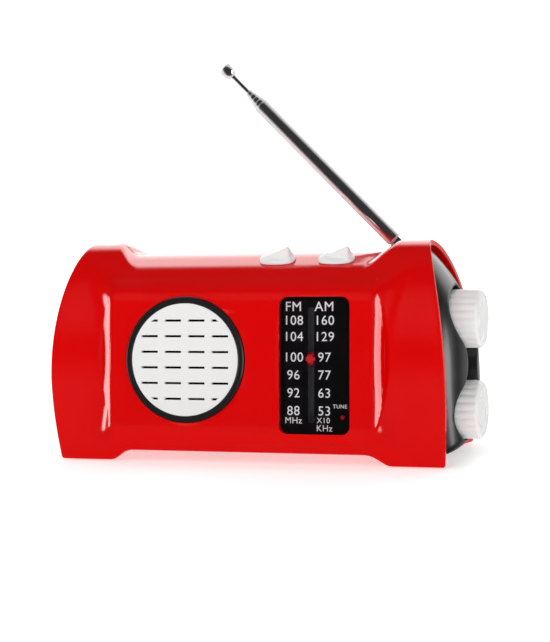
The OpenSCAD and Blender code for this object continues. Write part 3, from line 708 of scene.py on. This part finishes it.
def make_front_case():
    shell = build_shell("front_case", back=False)
    speaker_hole = circle_points(RING_R + 0.1)
    switch_slot = rounded_rectangle(10.4, 3.4, 1.2)
    window = rounded_rectangle(WINDOW_W + 0.3, WINDOW_H + 0.3, 3.4)
    cut(shell, [
        cutter(speaker_hole, opening(-12, PANEL_PROUD, 0.35), panel_place(SPEAKER_X, SPEAKER_Z)),
        cutter(window, opening(-9, PANEL_PROUD, 0.35), panel_place(WINDOW_X, WINDOW_Z)),
        cutter(switch_slot, opening(-6, 0, 0.3), strip_place(SWITCH_XS[0])),
        cutter(switch_slot, opening(-6, 0, 0.3), strip_place(SWITCH_XS[1])),
        door_cutter(),
    ])
    finish_cut(shell, "case", "front_shell", 30)


def make_rear_case():
    shell = build_shell("rear_case", back=True)
    screw_hole = circle_points(2.9, 40)
    charging_hole = rounded_rectangle(9.4, 5.4, 0.6)
    cut(shell, [
        back_hole(circle_points(DISH_R, 128), CRANK_X, CRANK_Z, DISH_Y, 0.6),
        cutter(circle_points(4.2, 48), [(5, 0), (30, 0)], back_place(CRANK_X, CRANK_Z)),
        back_hole(circle_points(4.1, 48), JACK_X, JACK_Z, 12, 0.3),
        back_hole(charging_hole, JACK_X, USB_Z, 12, 0.3),
        cutter(circle_points(6.7, 64), [(50, 0), (100, 0)], Matrix.Translation((AERIAL_X, AERIAL_Y, 0))),
        door_cutter(),
    ] + [back_hole(screw_hole, x, z, y - 0.2, 0.3) for x, z, y in SCREWS])
    finish_cut(shell, "case", "rear_shell", 30)


def make_screw_posts():
    """Hollow posts that the case's screws pull against."""
    for i, (x, z, y) in enumerate(SCREWS):
        outline = [(1.5, 1.0), (3.5, 1.0), (3.5, y - 0.3), (1.5, y - 0.3), (1.5, 1.0)]
        lathe(f"screw_post_{i + 1}", outline, "case", "red_case", back_place(x, z), 32)


# ---- the domed ends ----

CAP_BACK_X = 70.0
CAP_SOLID_X = 75.6
DOME_START_X = 71.0
DOME_X = 90.0
DOME_SIDE = 22.0
DOME_SLOPE = 20.0
DOME_CREST = 13.0
DOME_BASE = 10.0
CAP_INSET = WALL + 0.2
POCKET_R = 13.4
POCKET_FLOOR_X = 77.5
KNOB_Y = 26.5
KNOB_ZS = {"tuning": 15.4, "volume": -21.0}
TORCH_Z = 44.0
TORCH_R = 15.0


def dome_insets(angle):
    """How far the dome's outline is brought in at its sides, top and base, for an angle up the dome."""
    rise = 1 - np.cos(angle)
    return DOME_SIDE * rise, DOME_SLOPE * np.sin(angle) + DOME_CREST * rise, DOME_BASE * rise


def cap_half(z, side, top):
    """Half width of the plug's outline at a height."""
    reach = np.where(z > DEEPEST_Z, TOP_Z - CAP_INSET - top - DEEPEST_Z, SECTION_LOWER)
    part = np.clip(np.abs(z - DEEPEST_Z) / reach, 0, 1)
    return (HALF_Y - CAP_INSET - side) * (1 - part ** SECTION_POWER) ** (1 / SECTION_POWER)


def cap_outline(side, top, base, count=180):
    """The plug's outline as evenly spaced points, anticlockwise from the base's middle."""
    high = TOP_Z - CAP_INSET - top
    low = FOOT_Z + CAP_INSET + base
    heights = low + (high - low) * np.sin(np.linspace(0, math.pi / 2, 90))
    half = cap_half(heights, side, top)
    corner = min(2.0, half[0] * 0.5)
    right = [(0.0, low), (half[0] - corner, low), (half[0] - corner * 0.29, low + corner * 0.29)]
    right += [(y, z) for y, z in zip(half, heights) if z > low + corner]
    points = right + [(-y, z) for y, z in reversed(right)]
    flat = np.array(points)
    travelled = np.concatenate([[0], np.cumsum(np.linalg.norm(np.diff(flat, axis=0), axis=1))])
    at = np.linspace(0, travelled[-1], count, endpoint=False)
    return np.column_stack([np.interp(at, travelled, flat[:, 0]), np.interp(at, travelled, flat[:, 1])])


def dome_height(y, z):
    """X of the dome's surface over points of the end."""
    low, high = np.zeros(len(y)), np.full(len(y), math.pi / 2)
    for _ in range(30):
        angle = (low + high) / 2
        side, top, base = dome_insets(angle)
        inside = (z > FOOT_Z + CAP_INSET + base) & (np.abs(y) < cap_half(z, side, top))
        low = np.where(inside, angle, low)
        high = np.where(inside, high, angle)
    return DOME_START_X + (DOME_X - DOME_START_X) * np.sin(low)


def build_cap(name, side):
    """A plug with a domed face: a skirt that fits inside the case, closed by a solid dome."""
    rings = [(CAP_SOLID_X, (24.0, 30.0, 24.0)), (CAP_SOLID_X, (2.0, 8.0, 2.0)), (CAP_BACK_X, (2.0, 2.0, 2.0)),
             (CAP_BACK_X, (0.0, 0.0, 0.0))]
    for i in range(37):
        angle = math.pi / 2 * i / 36
        rings.append((DOME_START_X + (DOME_X - DOME_START_X) * math.sin(angle), dome_insets(angle)))
    points = [[(side * x, y, z) for y, z in cap_outline(*insets)] for x, insets in rings]
    return loft(name, points, None, "black_cap", sharp=32)


def peanut(radius, half_gap, neck, steps=40):
    """Two circles joined by a waist, with every arc tangent to the next; anticlockwise."""
    bend = (half_gap ** 2 + neck ** 2 - radius ** 2) / (2 * (radius - neck))
    tilt = math.atan2(half_gap, neck + bend)
    arcs = [
        (0, half_gap, radius, -tilt, math.pi + tilt),
        (-neck - bend, 0, bend, tilt, -tilt),
        (0, -half_gap, radius, math.pi - tilt, 2 * math.pi + tilt),
        (neck + bend, 0, bend, math.pi + tilt, math.pi - tilt),
    ]
    points = []
    for cx, cy, r, start, end in arcs:
        for i in range(steps):
            angle = start + (end - start) * i / steps
            points.append((cx + r * math.cos(angle), cy + r * math.sin(angle)))
    return points


def end_place(y, z):
    """On the right end, in the panel's frame: local X is the panel's depth, local Z points right."""
    turn = Matrix(((0, 0, 1, 0), (1, 0, 0, 0), (0, 1, 0, 0), (0, 0, 0, 1)))
    return PANEL @ Matrix.Translation((0, y, z)) @ turn


def make_control_cap():
    cap = build_cap("control_cap", 1)
    middle_z = sum(KNOB_ZS.values()) / 2
    half_gap = (KNOB_ZS["tuning"] - KNOB_ZS["volume"]) / 2
    place = end_place(KNOB_Y, middle_z)

    def surface(points):
        world = [place @ Vector((p[0], p[1], 0)) for p in points]
        return dome_height(np.array([w.y for w in world]), np.array([w.z for w in world]))

    outline = peanut(POCKET_R, half_gap, POCKET_R / 2)
    levels = [(POCKET_FLOOR_X, -1.2), (POCKET_FLOOR_X + 0.35, -0.35), (POCKET_FLOOR_X + 1.2, 0)]
    holes = [cutter(circle_points(3.4, 48), [(60, 0), (POCKET_FLOOR_X + 2, 0)], end_place(KNOB_Y, z))
             for z in KNOB_ZS.values()]
    cut(cap, [cutter(outline, levels + opening(0, surface, 0.8)[1:], place)] + holes)
    finish_cut(cap, "case", "control_end_cap", 30)


def make_torch_cap():
    cap = build_cap("torch_cap", -1)
    place = Matrix.Translation((0, 0, TORCH_Z)) @ Matrix.Rotation(-math.pi / 2, 4, "Y")

    def surface(points):
        return dome_height(points[:, 1], TORCH_Z + points[:, 0])

    cut(cap, [cutter(circle_points(TORCH_R + 0.15), opening(60, surface, 0.7), place)])
    finish_cut(cap, "case", "torch_end_cap", 30)


# ---- knobs and switches ----

KNOB_R = 11.75
KNOB_FACE_X = node_box("tuning_knob")[1][0]
KNOB_DEPTH = 15.0
FLUTES = 22


def make_knob(name, body, node, z):
    edge = 1.8
    outline = [(3.05, 9.0), (3.05, 0.0), (KNOB_R - 0.5, 0.0), (KNOB_R - 0.1, 0.15), (KNOB_R, 0.6)]
    outline += [(KNOB_R, 0.6 + (KNOB_DEPTH - edge - 0.6) * i / 8) for i in range(1, 9)]
    for i in range(1, 15):
        angle = math.pi / 2 * i / 14
        outline.append((KNOB_R - edge + edge * math.cos(angle), KNOB_DEPTH - edge + edge * math.sin(angle)))
    outline += [(KNOB_R - edge - step, KNOB_DEPTH) for step in (1.0, 5.0)]
    outline += [(0.01, KNOB_DEPTH), (0.01, 9.0), (3.05, 9.0)]

    def flute(radius, height, angle):
        if radius < KNOB_R - edge:
            return radius
        wave = 0.5 + 0.5 * math.cos(FLUTES * angle)
        fade = min(1.0, max(0.0, (KNOB_DEPTH - 0.5 - height) / 1.6))
        fade *= min(1.0, (radius - KNOB_R + edge) / edge)
        return radius - 0.5 * fade * wave ** 2.2

    place = end_place(KNOB_Y, z) @ Matrix.Translation((0, 0, KNOB_FACE_X - KNOB_DEPTH))
    knob = lathe(name, outline, body, "white_knob", place, FLUTES * 10, flute)
    stands_for(node)


def switch_height(u, v):
    """Height of a switch cap's top over its base plate: a fin that climbs to the right."""
    along = min(1.0, max(0.0, (u + 5.6) / 10.2))
    width = 0.75 + 1.55 * along
    end = min(1.0, max(0.0, (6.7 - u) / 1.5))
    end = end * end * (3 - 2 * end)
    ridge = math.exp(-abs(v / width) ** 3.4)
    return 1.35 + 4.25 * (along ** 1.15) * end * ridge


def make_switch_cap(name, body, node, x):
    half_length, radius = 3.2, 4.35
    steps = 26
    around = 96
    rings = []
    for step in range(steps + 1):
        share = step / steps
        ring = []
        for j in range(around):
            angle = 2 * math.pi * j / around
            u = (half_length * math.copysign(min(1, abs(math.cos(angle)) * 1.6), math.cos(angle))
                 + radius * math.cos(angle)) * share
            v = radius * math.sin(angle) * share
            edge = max(0.0, (share - 0.86) / 0.14)
            crown = 0.25 * (1 - share ** 2)
            drop = 0.75 * (1 - math.sqrt(1 - edge ** 2))
            ring.append((u, v, 0.2 + switch_height(u, v) + crown - drop))
        rings.append(ring)
    rings.append([(u, v, 0.15) for u, v, _ in rings[-1]])
    cap = loft(name, rings, body, "white_switch", strip_place(x), 50)
    stands_for(node)
    stem = [[(u, v, z) for u, v in rounded_rectangle(4.0, 2.6, 0.3)] for z in (-6.3, 0.3)]
    loft(name + "_stem", stem, body, "white_switch", strip_place(x))


# ---- the speaker and the dial ----

def make_grille_ring():
    outline = [(SPEAKER_R, 0.0), (RING_R, 0.0)]
    outline += [(RING_R, 3.6), (RING_R - 0.15, 4.15), (RING_R - 0.5, 4.5), (RING_R - 1.0, 4.65)]
    outline += [(SPEAKER_R + 0.9, 4.5), (SPEAKER_R + 0.35, 4.3), (SPEAKER_R, 3.9), (SPEAKER_R, 0.0)]
    place = panel_place(SPEAKER_X, SPEAKER_Z, 1.4)
    ring = lathe("speaker_ring", outline, "case", "black_trim", place, 160)
    stands_for("grille_ring")


DIAL_ROWS = [("108", "160", 14.5), ("104", "129", 8.0), ("100", "97", -0.2), ("96", "77", -7.3),
             ("92", "63", -14.5), ("88", "53", -21.6)]
FM_X, AM_X = 22.0, 34.9
PLATE_Y = 1.7


def text_mesh(words, size, x, z, thick=0.05):
    """Flat lettering as a mesh, centred on a point of the dial plate."""
    curve = bpy.data.curves.new("text", "FONT")
    curve.body = words
    curve.size = size * MM
    curve.align_x = "CENTER"
    curve.align_y = "CENTER"
    curve.extrude = thick * MM
    curve.space_character = 1.08
    curve.resolution_u = 6
    letters = bpy.data.objects.new("text", curve)
    bpy.context.scene.collection.objects.link(letters)
    place = panel_place(x, z, PLATE_Y - 0.03)
    letters.matrix_world = Matrix.Translation(place.translation * MM) @ place.to_3x3().to_4x4()
    bpy.context.view_layer.update()
    graph = bpy.context.evaluated_depsgraph_get()
    mesh = bpy.data.meshes.new_from_object(letters.evaluated_get(graph))
    mesh.transform(letters.matrix_world)
    bpy.data.objects.remove(letters)
    return mesh


def make_dial_print():
    labels = [("FM", 5.5, FM_X, 20.0), ("AM", 5.5, AM_X, 20.0)]
    for left, right, z in DIAL_ROWS:
        labels += [(left, 5.3, FM_X, z), (right, 5.3, AM_X, z)]
    labels += [("MHz", 3.6, FM_X, -25.4), ("X10", 3.1, AM_X - 0.4, -25.3), ("KHz", 3.6, AM_X, -28.4),
               ("TUNE", 2.2, 41.4, -19.6)]
    whole = bmesh.new()
    for words, size, x, z in labels:
        whole.from_mesh(text_mesh(words, size, x, z))
    mesh = bpy.data.meshes.new("dial_print")
    bmesh.ops.remove_doubles(whole, verts=whole.verts, dist=1e-7)
    whole.to_mesh(mesh)
    mesh.materials.clear()
    mesh.materials.append(LOOKS["dial_print"])
    piece = bpy.data.objects.new("dial_print", mesh)
    bpy.context.scene.collection.objects.link(piece)
    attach(piece, "case")


# ---- the torch ----

def make_torch():
    place = Matrix.Translation((0, 0, TORCH_Z)) @ Matrix.Rotation(-math.pi / 2, 4, "Y")
    bowl = [(2.4, 72.6)]
    bowl += [(2.4 + 12.2 * (i / 20) ** 0.62, 72.6 + 11.6 * (i / 20) ** 1.15) for i in range(1, 21)]
    bowl += [(14.6, 86.1), (14.9, 86.1), (14.9, 83.8)]
    bowl += [(2.4 + 12.2 * (i / 20) ** 0.62 + 0.3, 71.9 + 11.6 * (i / 20) ** 1.15) for i in range(19, -1, -1)]
    bowl.append(bowl[0])
    reflector = lathe("torch_bowl", bowl, "case", "reflector", place, 96)
    stands_for("torch_reflector")
    bulge = 21.5
    face = 94.0
    lens = []
    for i in range(25):
        r = TORCH_R - 0.05 - (TORCH_R - 0.06) * i / 24
        lens.append((r, face - bulge + math.sqrt(bulge ** 2 - r ** 2)))
    back = [(r, height - 1.5) for r, height in reversed(lens)]
    lens = [(TORCH_R - 0.05, 86.4)] + lens + back + [(TORCH_R - 1.6, 86.4), (TORCH_R - 0.05, 86.4)]
    pane = lathe("torch_pane", lens, "case", "clear_lens", place, 96)
    stands_for("torch_lens")


# ---- the aerial ----

AERIAL_Z = sum(node_box("antenna_pin")[k][2] for k in (0, 1)) / 2
AERIAL_RISE = 46.0
AERIAL_R = 3.3
TUBE_STEP = 0.42
TUBE_START = 6.5
TUBE_LENGTH = 80.0
AERIAL_PLACE = Matrix.Translation((AERIAL_X, AERIAL_Y, AERIAL_Z)) @ Matrix.Rotation(
    math.radians(AERIAL_RISE - 90), 4, "Y")


def tube_r(i):
    return AERIAL_R - TUBE_STEP * i


def tube_end(i):
    return TUBE_START + TUBE_LENGTH + 1.9 * i


def make_tube(i):
    radius = tube_r(i)
    bore = tube_r(i + 1) + 0.05
    start = TUBE_START + 2.2 * i
    end = tube_end(i)
    outline = [(bore, start + 2), (0.01, start + 2), (0.01, start), (radius - 0.4, start)]
    outline += [(radius - 0.12, start + 0.12), (radius, start + 0.5), (radius, end - 0.9)]
    outline += [(radius - 0.06, end - 0.4), (radius - 0.18, end - 0.08), (radius - 0.3, end)]
    outline += [(bore, end), (bore, start + 2)]
    tube = lathe(f"aerial_tube_{i + 1}", outline, f"antenna_{i + 1}", "antenna_chrome", AERIAL_PLACE, 48)
    stands_for(f"antenna_tube_{i + 1}")


def make_aerial_foot():
    """The flattened end of the widest tube, which the clevis pin passes through."""
    half = 1.75
    steps = 20
    outline = [(2.5 * math.cos(math.pi + math.pi * i / steps), 2.5 * math.sin(math.pi + math.pi * i / steps))
               for i in range(steps + 1)]
    outline += [(2.5, TUBE_START - 1.0), (2.2, TUBE_START), (-2.2, TUBE_START), (-2.5, TUBE_START - 1.0)]
    bevel = 0.3
    rings = []
    for depth, inset in [(-half, bevel), (-half + bevel, 0), (half - bevel, 0), (half, bevel)]:
        scale = 1 - inset / 2.5
        rings.append([(x * scale, depth, z * scale) for x, z in outline])
    loft("aerial_foot", rings, "antenna_1", "antenna_chrome", AERIAL_PLACE)


def make_aerial_tip():
    radius = tube_r(4)
    end = tube_end(4)
    start = TUBE_START + 2.2 * 4
    knob_at = 104.0
    outline = [(0.01, start), (radius - 0.2, start), (radius, start + 0.3), (radius, end - 0.5)]
    outline += [(radius - 0.2, end), (1.05, end + 0.15), (1.0, knob_at - 1.6)]
    outline += [(1.15, knob_at - 0.5), (1.9, knob_at)]
    outline += [(2.65, knob_at + 1.1), (2.9, knob_at + 1.9), (2.9, knob_at + 4.1), (2.65, knob_at + 4.7)]
    outline += [(2.0, knob_at + 5.0), (0.01, knob_at + 5.0)]
    tip = lathe("aerial_tip", outline, "antenna_5", "antenna_chrome", AERIAL_PLACE, 48)
    stands_for("antenna_tip")


# ---- the crank ----

ARM_LOW, ARM_HIGH = node_box("crank_arm")
GRIP_LOW, GRIP_HIGH = node_box("crank_grip")
CRANK_REACH = 25.0


def arm_outline(inset, count=120):
    """A bar that tapers from the shaft's boss to the grip's, with tangent sides."""
    big, small = 8.0 - inset, 6.0 - inset
    tilt = math.acos((big - small) / CRANK_REACH)
    points = []
    for i in range(count // 2):
        angle = tilt + (2 * math.pi - 2 * tilt) * i / (count // 2 - 1)
        points.append((big * math.cos(angle), big * math.sin(angle)))
    for i in range(count // 2):
        angle = -tilt + 2 * tilt * i / (count // 2 - 1)
        points.append((CRANK_REACH + small * math.cos(angle), small * math.sin(angle)))
    return points


def make_crank():
    thick = ARM_HIGH[1] - ARM_LOW[1]
    round_edge = 1.1
    levels = [(0, 0.4), (0.4, 0)]
    for i in range(7):
        angle = math.pi / 2 * i / 6
        levels.append((thick - round_edge + round_edge * math.sin(angle), round_edge * (1 - math.cos(angle))))
    levels += [(thick, 2.2), (thick - 0.5, 2.6), (thick - 0.5, 4.2)]
    rings = [[(x, y, height) for x, y in arm_outline(inset)] for height, inset in levels]
    place = back_place(CRANK_X, CRANK_Z, ARM_LOW[1])
    arm = loft("crank_bar", rings, None, "black_crank", place, 32)
    reach = Matrix.Translation((CRANK_REACH, 0, 0))
    cut(arm, [cutter(circle_points(3.0, 48), [(-1, 0), (thick - 1, 0)], place),
              cutter(circle_points(1.8, 40), [(-1, 0), (10, 0)], place @ reach)])
    finish_cut(arm, "crank", "crank_arm", 32)
    boss = [(3.4, thick - 0.6), (4.2, thick - 0.6), (4.2, thick + 0.5), (3.8, thick + 0.9)]
    boss += [(0.01, thick + 1.1), (0.01, thick - 0.6)]
    lathe("crank_boss", boss, "crank", "black_crank", place, 48)


def make_grip():
    length = GRIP_HIGH[1] - GRIP_LOW[1]
    outline = [(1.85, 0), (5.0, 0), (5.6, 0.3), (6.0, 0.9)]
    outline += [(6.4 - 0.55 * math.sin(math.pi * i / 10), 1.2 + (length - 2.8) * i / 10) for i in range(11)]
    outline += [(6.15, length - 0.9), (5.6, length - 0.3), (4.8, length), (0.01, length)]
    outline += [(0.01, length - 0.6), (1.85, length - 0.6), (1.85, 0)]
    middle = (GRIP_LOW + GRIP_HIGH) / 2

    def ribs(radius, height, angle):
        if radius < 5.3:
            return radius
        return radius - 0.28 * (0.5 + 0.5 * math.cos(18 * angle)) ** 2

    place = back_place(middle[0], middle[2], GRIP_LOW[1])
    grip = lathe("grip_knob", outline, "grip", "black_crank", place, 180, ribs)
    stands_for("crank_grip")


# ---- the battery door and the fasteners ----

def make_door():
    size = DOOR_HIGH - DOOR_LOW
    middle = (DOOR_HIGH + DOOR_LOW) / 2
    place = Matrix.Translation((middle[0], middle[1], 0)) @ Matrix.Scale(-1, 4, (0, 0, 1))
    low, high = -DOOR_HIGH[2], -DOOR_LOW[2]
    levels = [(low, 0.3), (low + 0.3, 0), (high - 0.4, 0), (high - 0.1, 0.12), (high, 0.4)]
    rings = []
    for height, inset in levels:
        outline = rounded_rectangle(size[0] - 2 * inset, size[1] - 2 * inset, 0.8)
        rings.append([(x, y, height) for x, y in outline])
    door = loft("battery_cover", rings, None, "red_case", place, 32)
    slots = []
    for i in range(5):
        row = Matrix.Translation((middle[0], DOOR_LOW[1] + 5 + i * 1.8, 0))
        slots.append(cutter(rounded_rectangle(14, 0.8, 0.38), [(0, 0), (DOOR_LOW[2] + 0.6, 0)], row))
    cut(door, slots)
    finish_cut(door, "door", "battery_door", 32)


CAD_LOOKS = {
    "torch_leds": "led_lens", "speaker_grille": "white_grille", "speaker_frame": "plated_steel",
    "speaker_cone": "cone_paper", "speaker_magnet": "magnet", "dial_window": "dial_glass",
    "dial_plate": "dial_black", "dial_backing": "track_grey", "dial_pointer": "pointer_red",
    "dial_cord": "cord", "cord_pulleys": "nylon", "tuning_lamp": "lamp_red", "tuning_shaft": "plated_steel",
    "tuning_capacitor": "nylon", "volume_shaft": "plated_steel", "volume_control": "plated_steel",
    "band_switch": "plated_steel", "power_switch": "plated_steel", "circuit_board": "circuit_green",
    "board_components": "black_trim", "ferrite_rod": "ferrite", "ferrite_coil": "copper_wire",
    "battery_pack": "battery_wrap", "crank_shaft": "plated_steel", "grip_pin": "plated_steel",
    "drive_gear": "nylon", "idler_gear": "nylon", "idler_axle": "plated_steel",
    "generator": "plated_steel", "generator_pinion": "brass_pinion", "gear_plate": "plated_steel",
    "gear_plate_posts": "nylon", "antenna_socket": "black_trim", "antenna_turret": "antenna_chrome",
    "antenna_pin": "antenna_chrome", "headphone_jack": "black_trim", "charging_jack": "plated_steel",
    "jack_cover": "soft_rubber", "case_screws": "plated_steel", "rubber_feet": "soft_rubber",
}


def dress_cad_nodes():
    for name, look in CAD_LOOKS.items():
        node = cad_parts[name]
        node.data.materials.clear()
        node.data.materials.append(LOOKS[look])


# ---- light, floor and camera ----

CAMERA_AZIMUTH = math.radians(18.3)
CAMERA_DISTANCE = 736.0
CAMERA_TARGET = (14.8, 0.0, 14.4)
FOCAL_PIXELS = 1840.0
IMAGE_HEIGHT = 642.0
SENSOR_WIDTH = 36.0
LAMP_TARGET = (0, 0, 45)


def make_camera():
    data = bpy.data.cameras.new("camera")
    data.sensor_fit = "AUTO"
    data.sensor_width = SENSOR_WIDTH
    data.lens = FOCAL_PIXELS * SENSOR_WIDTH / IMAGE_HEIGHT
    camera = bpy.data.objects.new("camera", data)
    bpy.context.scene.collection.objects.link(camera)
    away = Vector((math.sin(CAMERA_AZIMUTH), -math.cos(CAMERA_AZIMUTH), 0))
    turn = PANEL.to_3x3()
    place = PANEL @ (Vector(CAMERA_TARGET) + away * CAMERA_DISTANCE)
    back = (turn @ away).normalized()
    up = turn @ Vector((0, 0, 1))
    right = up.cross(back).normalized()
    up = back.cross(right)
    camera.matrix_world = Matrix.Translation(place * MM) @ Matrix((right, up, back)).transposed().to_4x4()
    bpy.context.scene.camera = camera


def area_light(name, place, width, height, watts):
    data = bpy.data.lights.new(name, "AREA")
    data.shape = "RECTANGLE"
    data.size = width * MM
    data.size_y = height * MM
    data.energy = watts
    light = bpy.data.objects.new(name, data)
    bpy.context.scene.collection.objects.link(light)
    light.location = Vector(place) * MM
    aim = Vector(LAMP_TARGET) - Vector(place)
    light.rotation_mode = "QUATERNION"
    light.rotation_quaternion = aim.to_track_quat("-Z", "Y")
    light.visible_glossy = False


def make_lights():
    """Soft lamps that light the object but don't show in its gloss; the world gives the reflections."""
    area_light("key", (-400, -1000, 750), 900, 700, 5.4)
    area_light("fill", (700, -900, 300), 600, 700, 3.2)
    area_light("top", (0, 100, 1000), 1000, 800, 2.2)
    area_light("left", (-1000, 100, 300), 400, 700, 1.3)
    area_light("back", (0, 1100, 600), 1200, 700, 3)


class WorldMaths:
    """Builds the world's brightness from ramps over a direction's parts."""

    def __init__(self, tree):
        self.tree = tree

    def ramp(self, source, start, end):
        node = self.tree.nodes.new("ShaderNodeMapRange")
        node.interpolation_type = "SMOOTHSTEP"
        node.inputs["From Min"].default_value = start
        node.inputs["From Max"].default_value = end
        self.tree.links.new(source, node.inputs["Value"])
        return node.outputs["Result"]

    def join(self, operation, first, second):
        node = self.tree.nodes.new("ShaderNodeMath")
        node.operation = operation
        for socket, value in zip(node.inputs, (first, second)):
            if isinstance(value, float):
                socket.default_value = value
            else:
                self.tree.links.new(value, socket)
        return node.outputs["Value"]


def make_world():
    """White to the camera. In reflections: bright behind the object and above the horizon, a strip at
    the right front, a patch at the far left, and dark overhead and in front."""
    world = bpy.data.worlds.new("studio")
    bpy.context.scene.world = world
    world.use_nodes = True
    tree = world.node_tree
    maths = WorldMaths(tree)
    coords = tree.nodes.new("ShaderNodeTexCoord")
    split = tree.nodes.new("ShaderNodeSeparateXYZ")
    tree.links.new(coords.outputs["Generated"], split.inputs["Vector"])
    x, y, z = (split.outputs[k] for k in "XYZ")
    behind = maths.join("MULTIPLY", maths.ramp(y, 0.25, 0.6), maths.ramp(z, 0.88, 0.72))
    raised = maths.join("ADD", maths.join("MULTIPLY", maths.ramp(z, 0.05, 0.3), 0.75), 0.25)
    behind = maths.join("MULTIPLY", behind, raised)
    in_front = maths.join("MULTIPLY", maths.ramp(y, -0.04, -0.1), maths.ramp(z, 0.45, 0.3))
    right_strip = maths.join("MULTIPLY", maths.ramp(x, 0.9, 0.95), in_front)
    level = maths.join("MULTIPLY", maths.ramp(z, 0.4, 0.25), maths.ramp(z, -0.4, -0.25))
    left = maths.join("MULTIPLY", maths.ramp(x, -0.97, -0.99), maths.join("MULTIPLY", level, 5.5))
    glow = maths.join("ADD", maths.join("MULTIPLY", behind, 2.9), maths.join("MULTIPLY", right_strip, 8.0))
    glow = maths.join("ADD", glow, left)
    glow = maths.join("ADD", glow, 0.035)
    paths = tree.nodes.new("ShaderNodeLightPath")
    soft = maths.join("MULTIPLY", paths.outputs["Is Diffuse Ray"], 0.13)
    gloss = maths.join("MULTIPLY", paths.outputs["Is Glossy Ray"], glow)
    straight = maths.join("MULTIPLY", paths.outputs["Is Camera Ray"], 1.0)
    through = maths.join("MULTIPLY", paths.outputs["Is Transmission Ray"], 1.0)
    strength = maths.join("ADD", maths.join("ADD", soft, gloss), maths.join("MAXIMUM", straight, through))
    tree.links.new(strength, tree.nodes["Background"].inputs["Strength"])
    tree.nodes["Background"].inputs["Color"].default_value = (1, 1, 1, 1)


def make_floor():
    """A pale floor that curves up into a backdrop and whitens outwards; clear when seen from below."""
    bend_start, bend_r, width, height = 1500, 900, 8000, 3000
    profile = [(-3000, 0), (bend_start, 0)]
    for angle in np.linspace(0.1, math.pi / 2, 16):
        profile.append((bend_start + bend_r * math.sin(angle), bend_r * (1 - math.cos(angle))))
    profile.append((bend_start + bend_r, height))
    points = []
    for x in (-width / 2, width / 2):
        points += [(x, y, z) for y, z in profile]
    count = len(profile)
    faces = [(count + i, count + i + 1, i + 1, i) for i in range(count - 1)]
    shader = Shader("floor")
    shader.set(Base_Color=(0.93, 0.93, 0.93, 1), Roughness=0.9)
    shader.bump(shader.object_noise(60).outputs["Fac"], 0.02, 0.5)
    position = shader.add("ShaderNodeNewGeometry")
    length = shader.add("ShaderNodeVectorMath", operation="LENGTH")
    fade = shader.add("ShaderNodeMapRange", interpolation_type="SMOOTHSTEP")
    fade.inputs["From Min"].default_value = 0.12
    fade.inputs["From Max"].default_value = 0.45
    fade.inputs["To Min"].default_value = 0.5
    fade.inputs["To Max"].default_value = 0.75
    shader.link(position.outputs["Position"], length.inputs[0])
    shader.link(length.outputs["Value"], fade.inputs["Value"])
    shader.link(fade.outputs["Result"], shader.base.inputs["Emission Strength"])
    shader.set(Emission_Color=(1, 1, 1, 1))
    see_through = shader.add("ShaderNodeBsdfTransparent")
    from_below = shader.add("ShaderNodeMixShader")
    shader.link(position.outputs["Backfacing"], from_below.inputs["Fac"])
    shader.link(shader.base.outputs["BSDF"], from_below.inputs[1])
    shader.link(see_through.outputs["BSDF"], from_below.inputs[2])
    shader.link(from_below.outputs["Shader"], shader.tree.nodes["Material Output"].inputs["Surface"])
    mesh = bpy.data.meshes.new("floor")
    mesh.from_pydata([Vector(p) * MM for p in points], [], faces)
    mesh.materials.append(shader.material)
    mesh.shade_smooth()
    floor = bpy.data.objects.new("floor", mesh)
    bpy.context.scene.collection.objects.link(floor)
    floor.visible_glossy = False


bpy.context.scene.view_settings.view_transform = "Standard"
make_front_case()
make_rear_case()
make_screw_posts()
make_control_cap()
make_torch_cap()
for knob, knob_z in KNOB_ZS.items():
    make_knob(f"{knob}_dial", knob, f"{knob}_knob", knob_z)
for switch, switch_x in zip(("power", "band"), SWITCH_XS):
    make_switch_cap(f"{switch}_slide", f"{switch}_slider", f"{switch}_switch_cap", switch_x)
make_grille_ring()
make_dial_print()
make_torch()
for tube_index in range(4):
    make_tube(tube_index)
make_aerial_foot()
make_aerial_tip()
make_crank()
make_grip()
make_door()
dress_cad_nodes()
make_floor()
make_lights()
make_world()
make_camera()
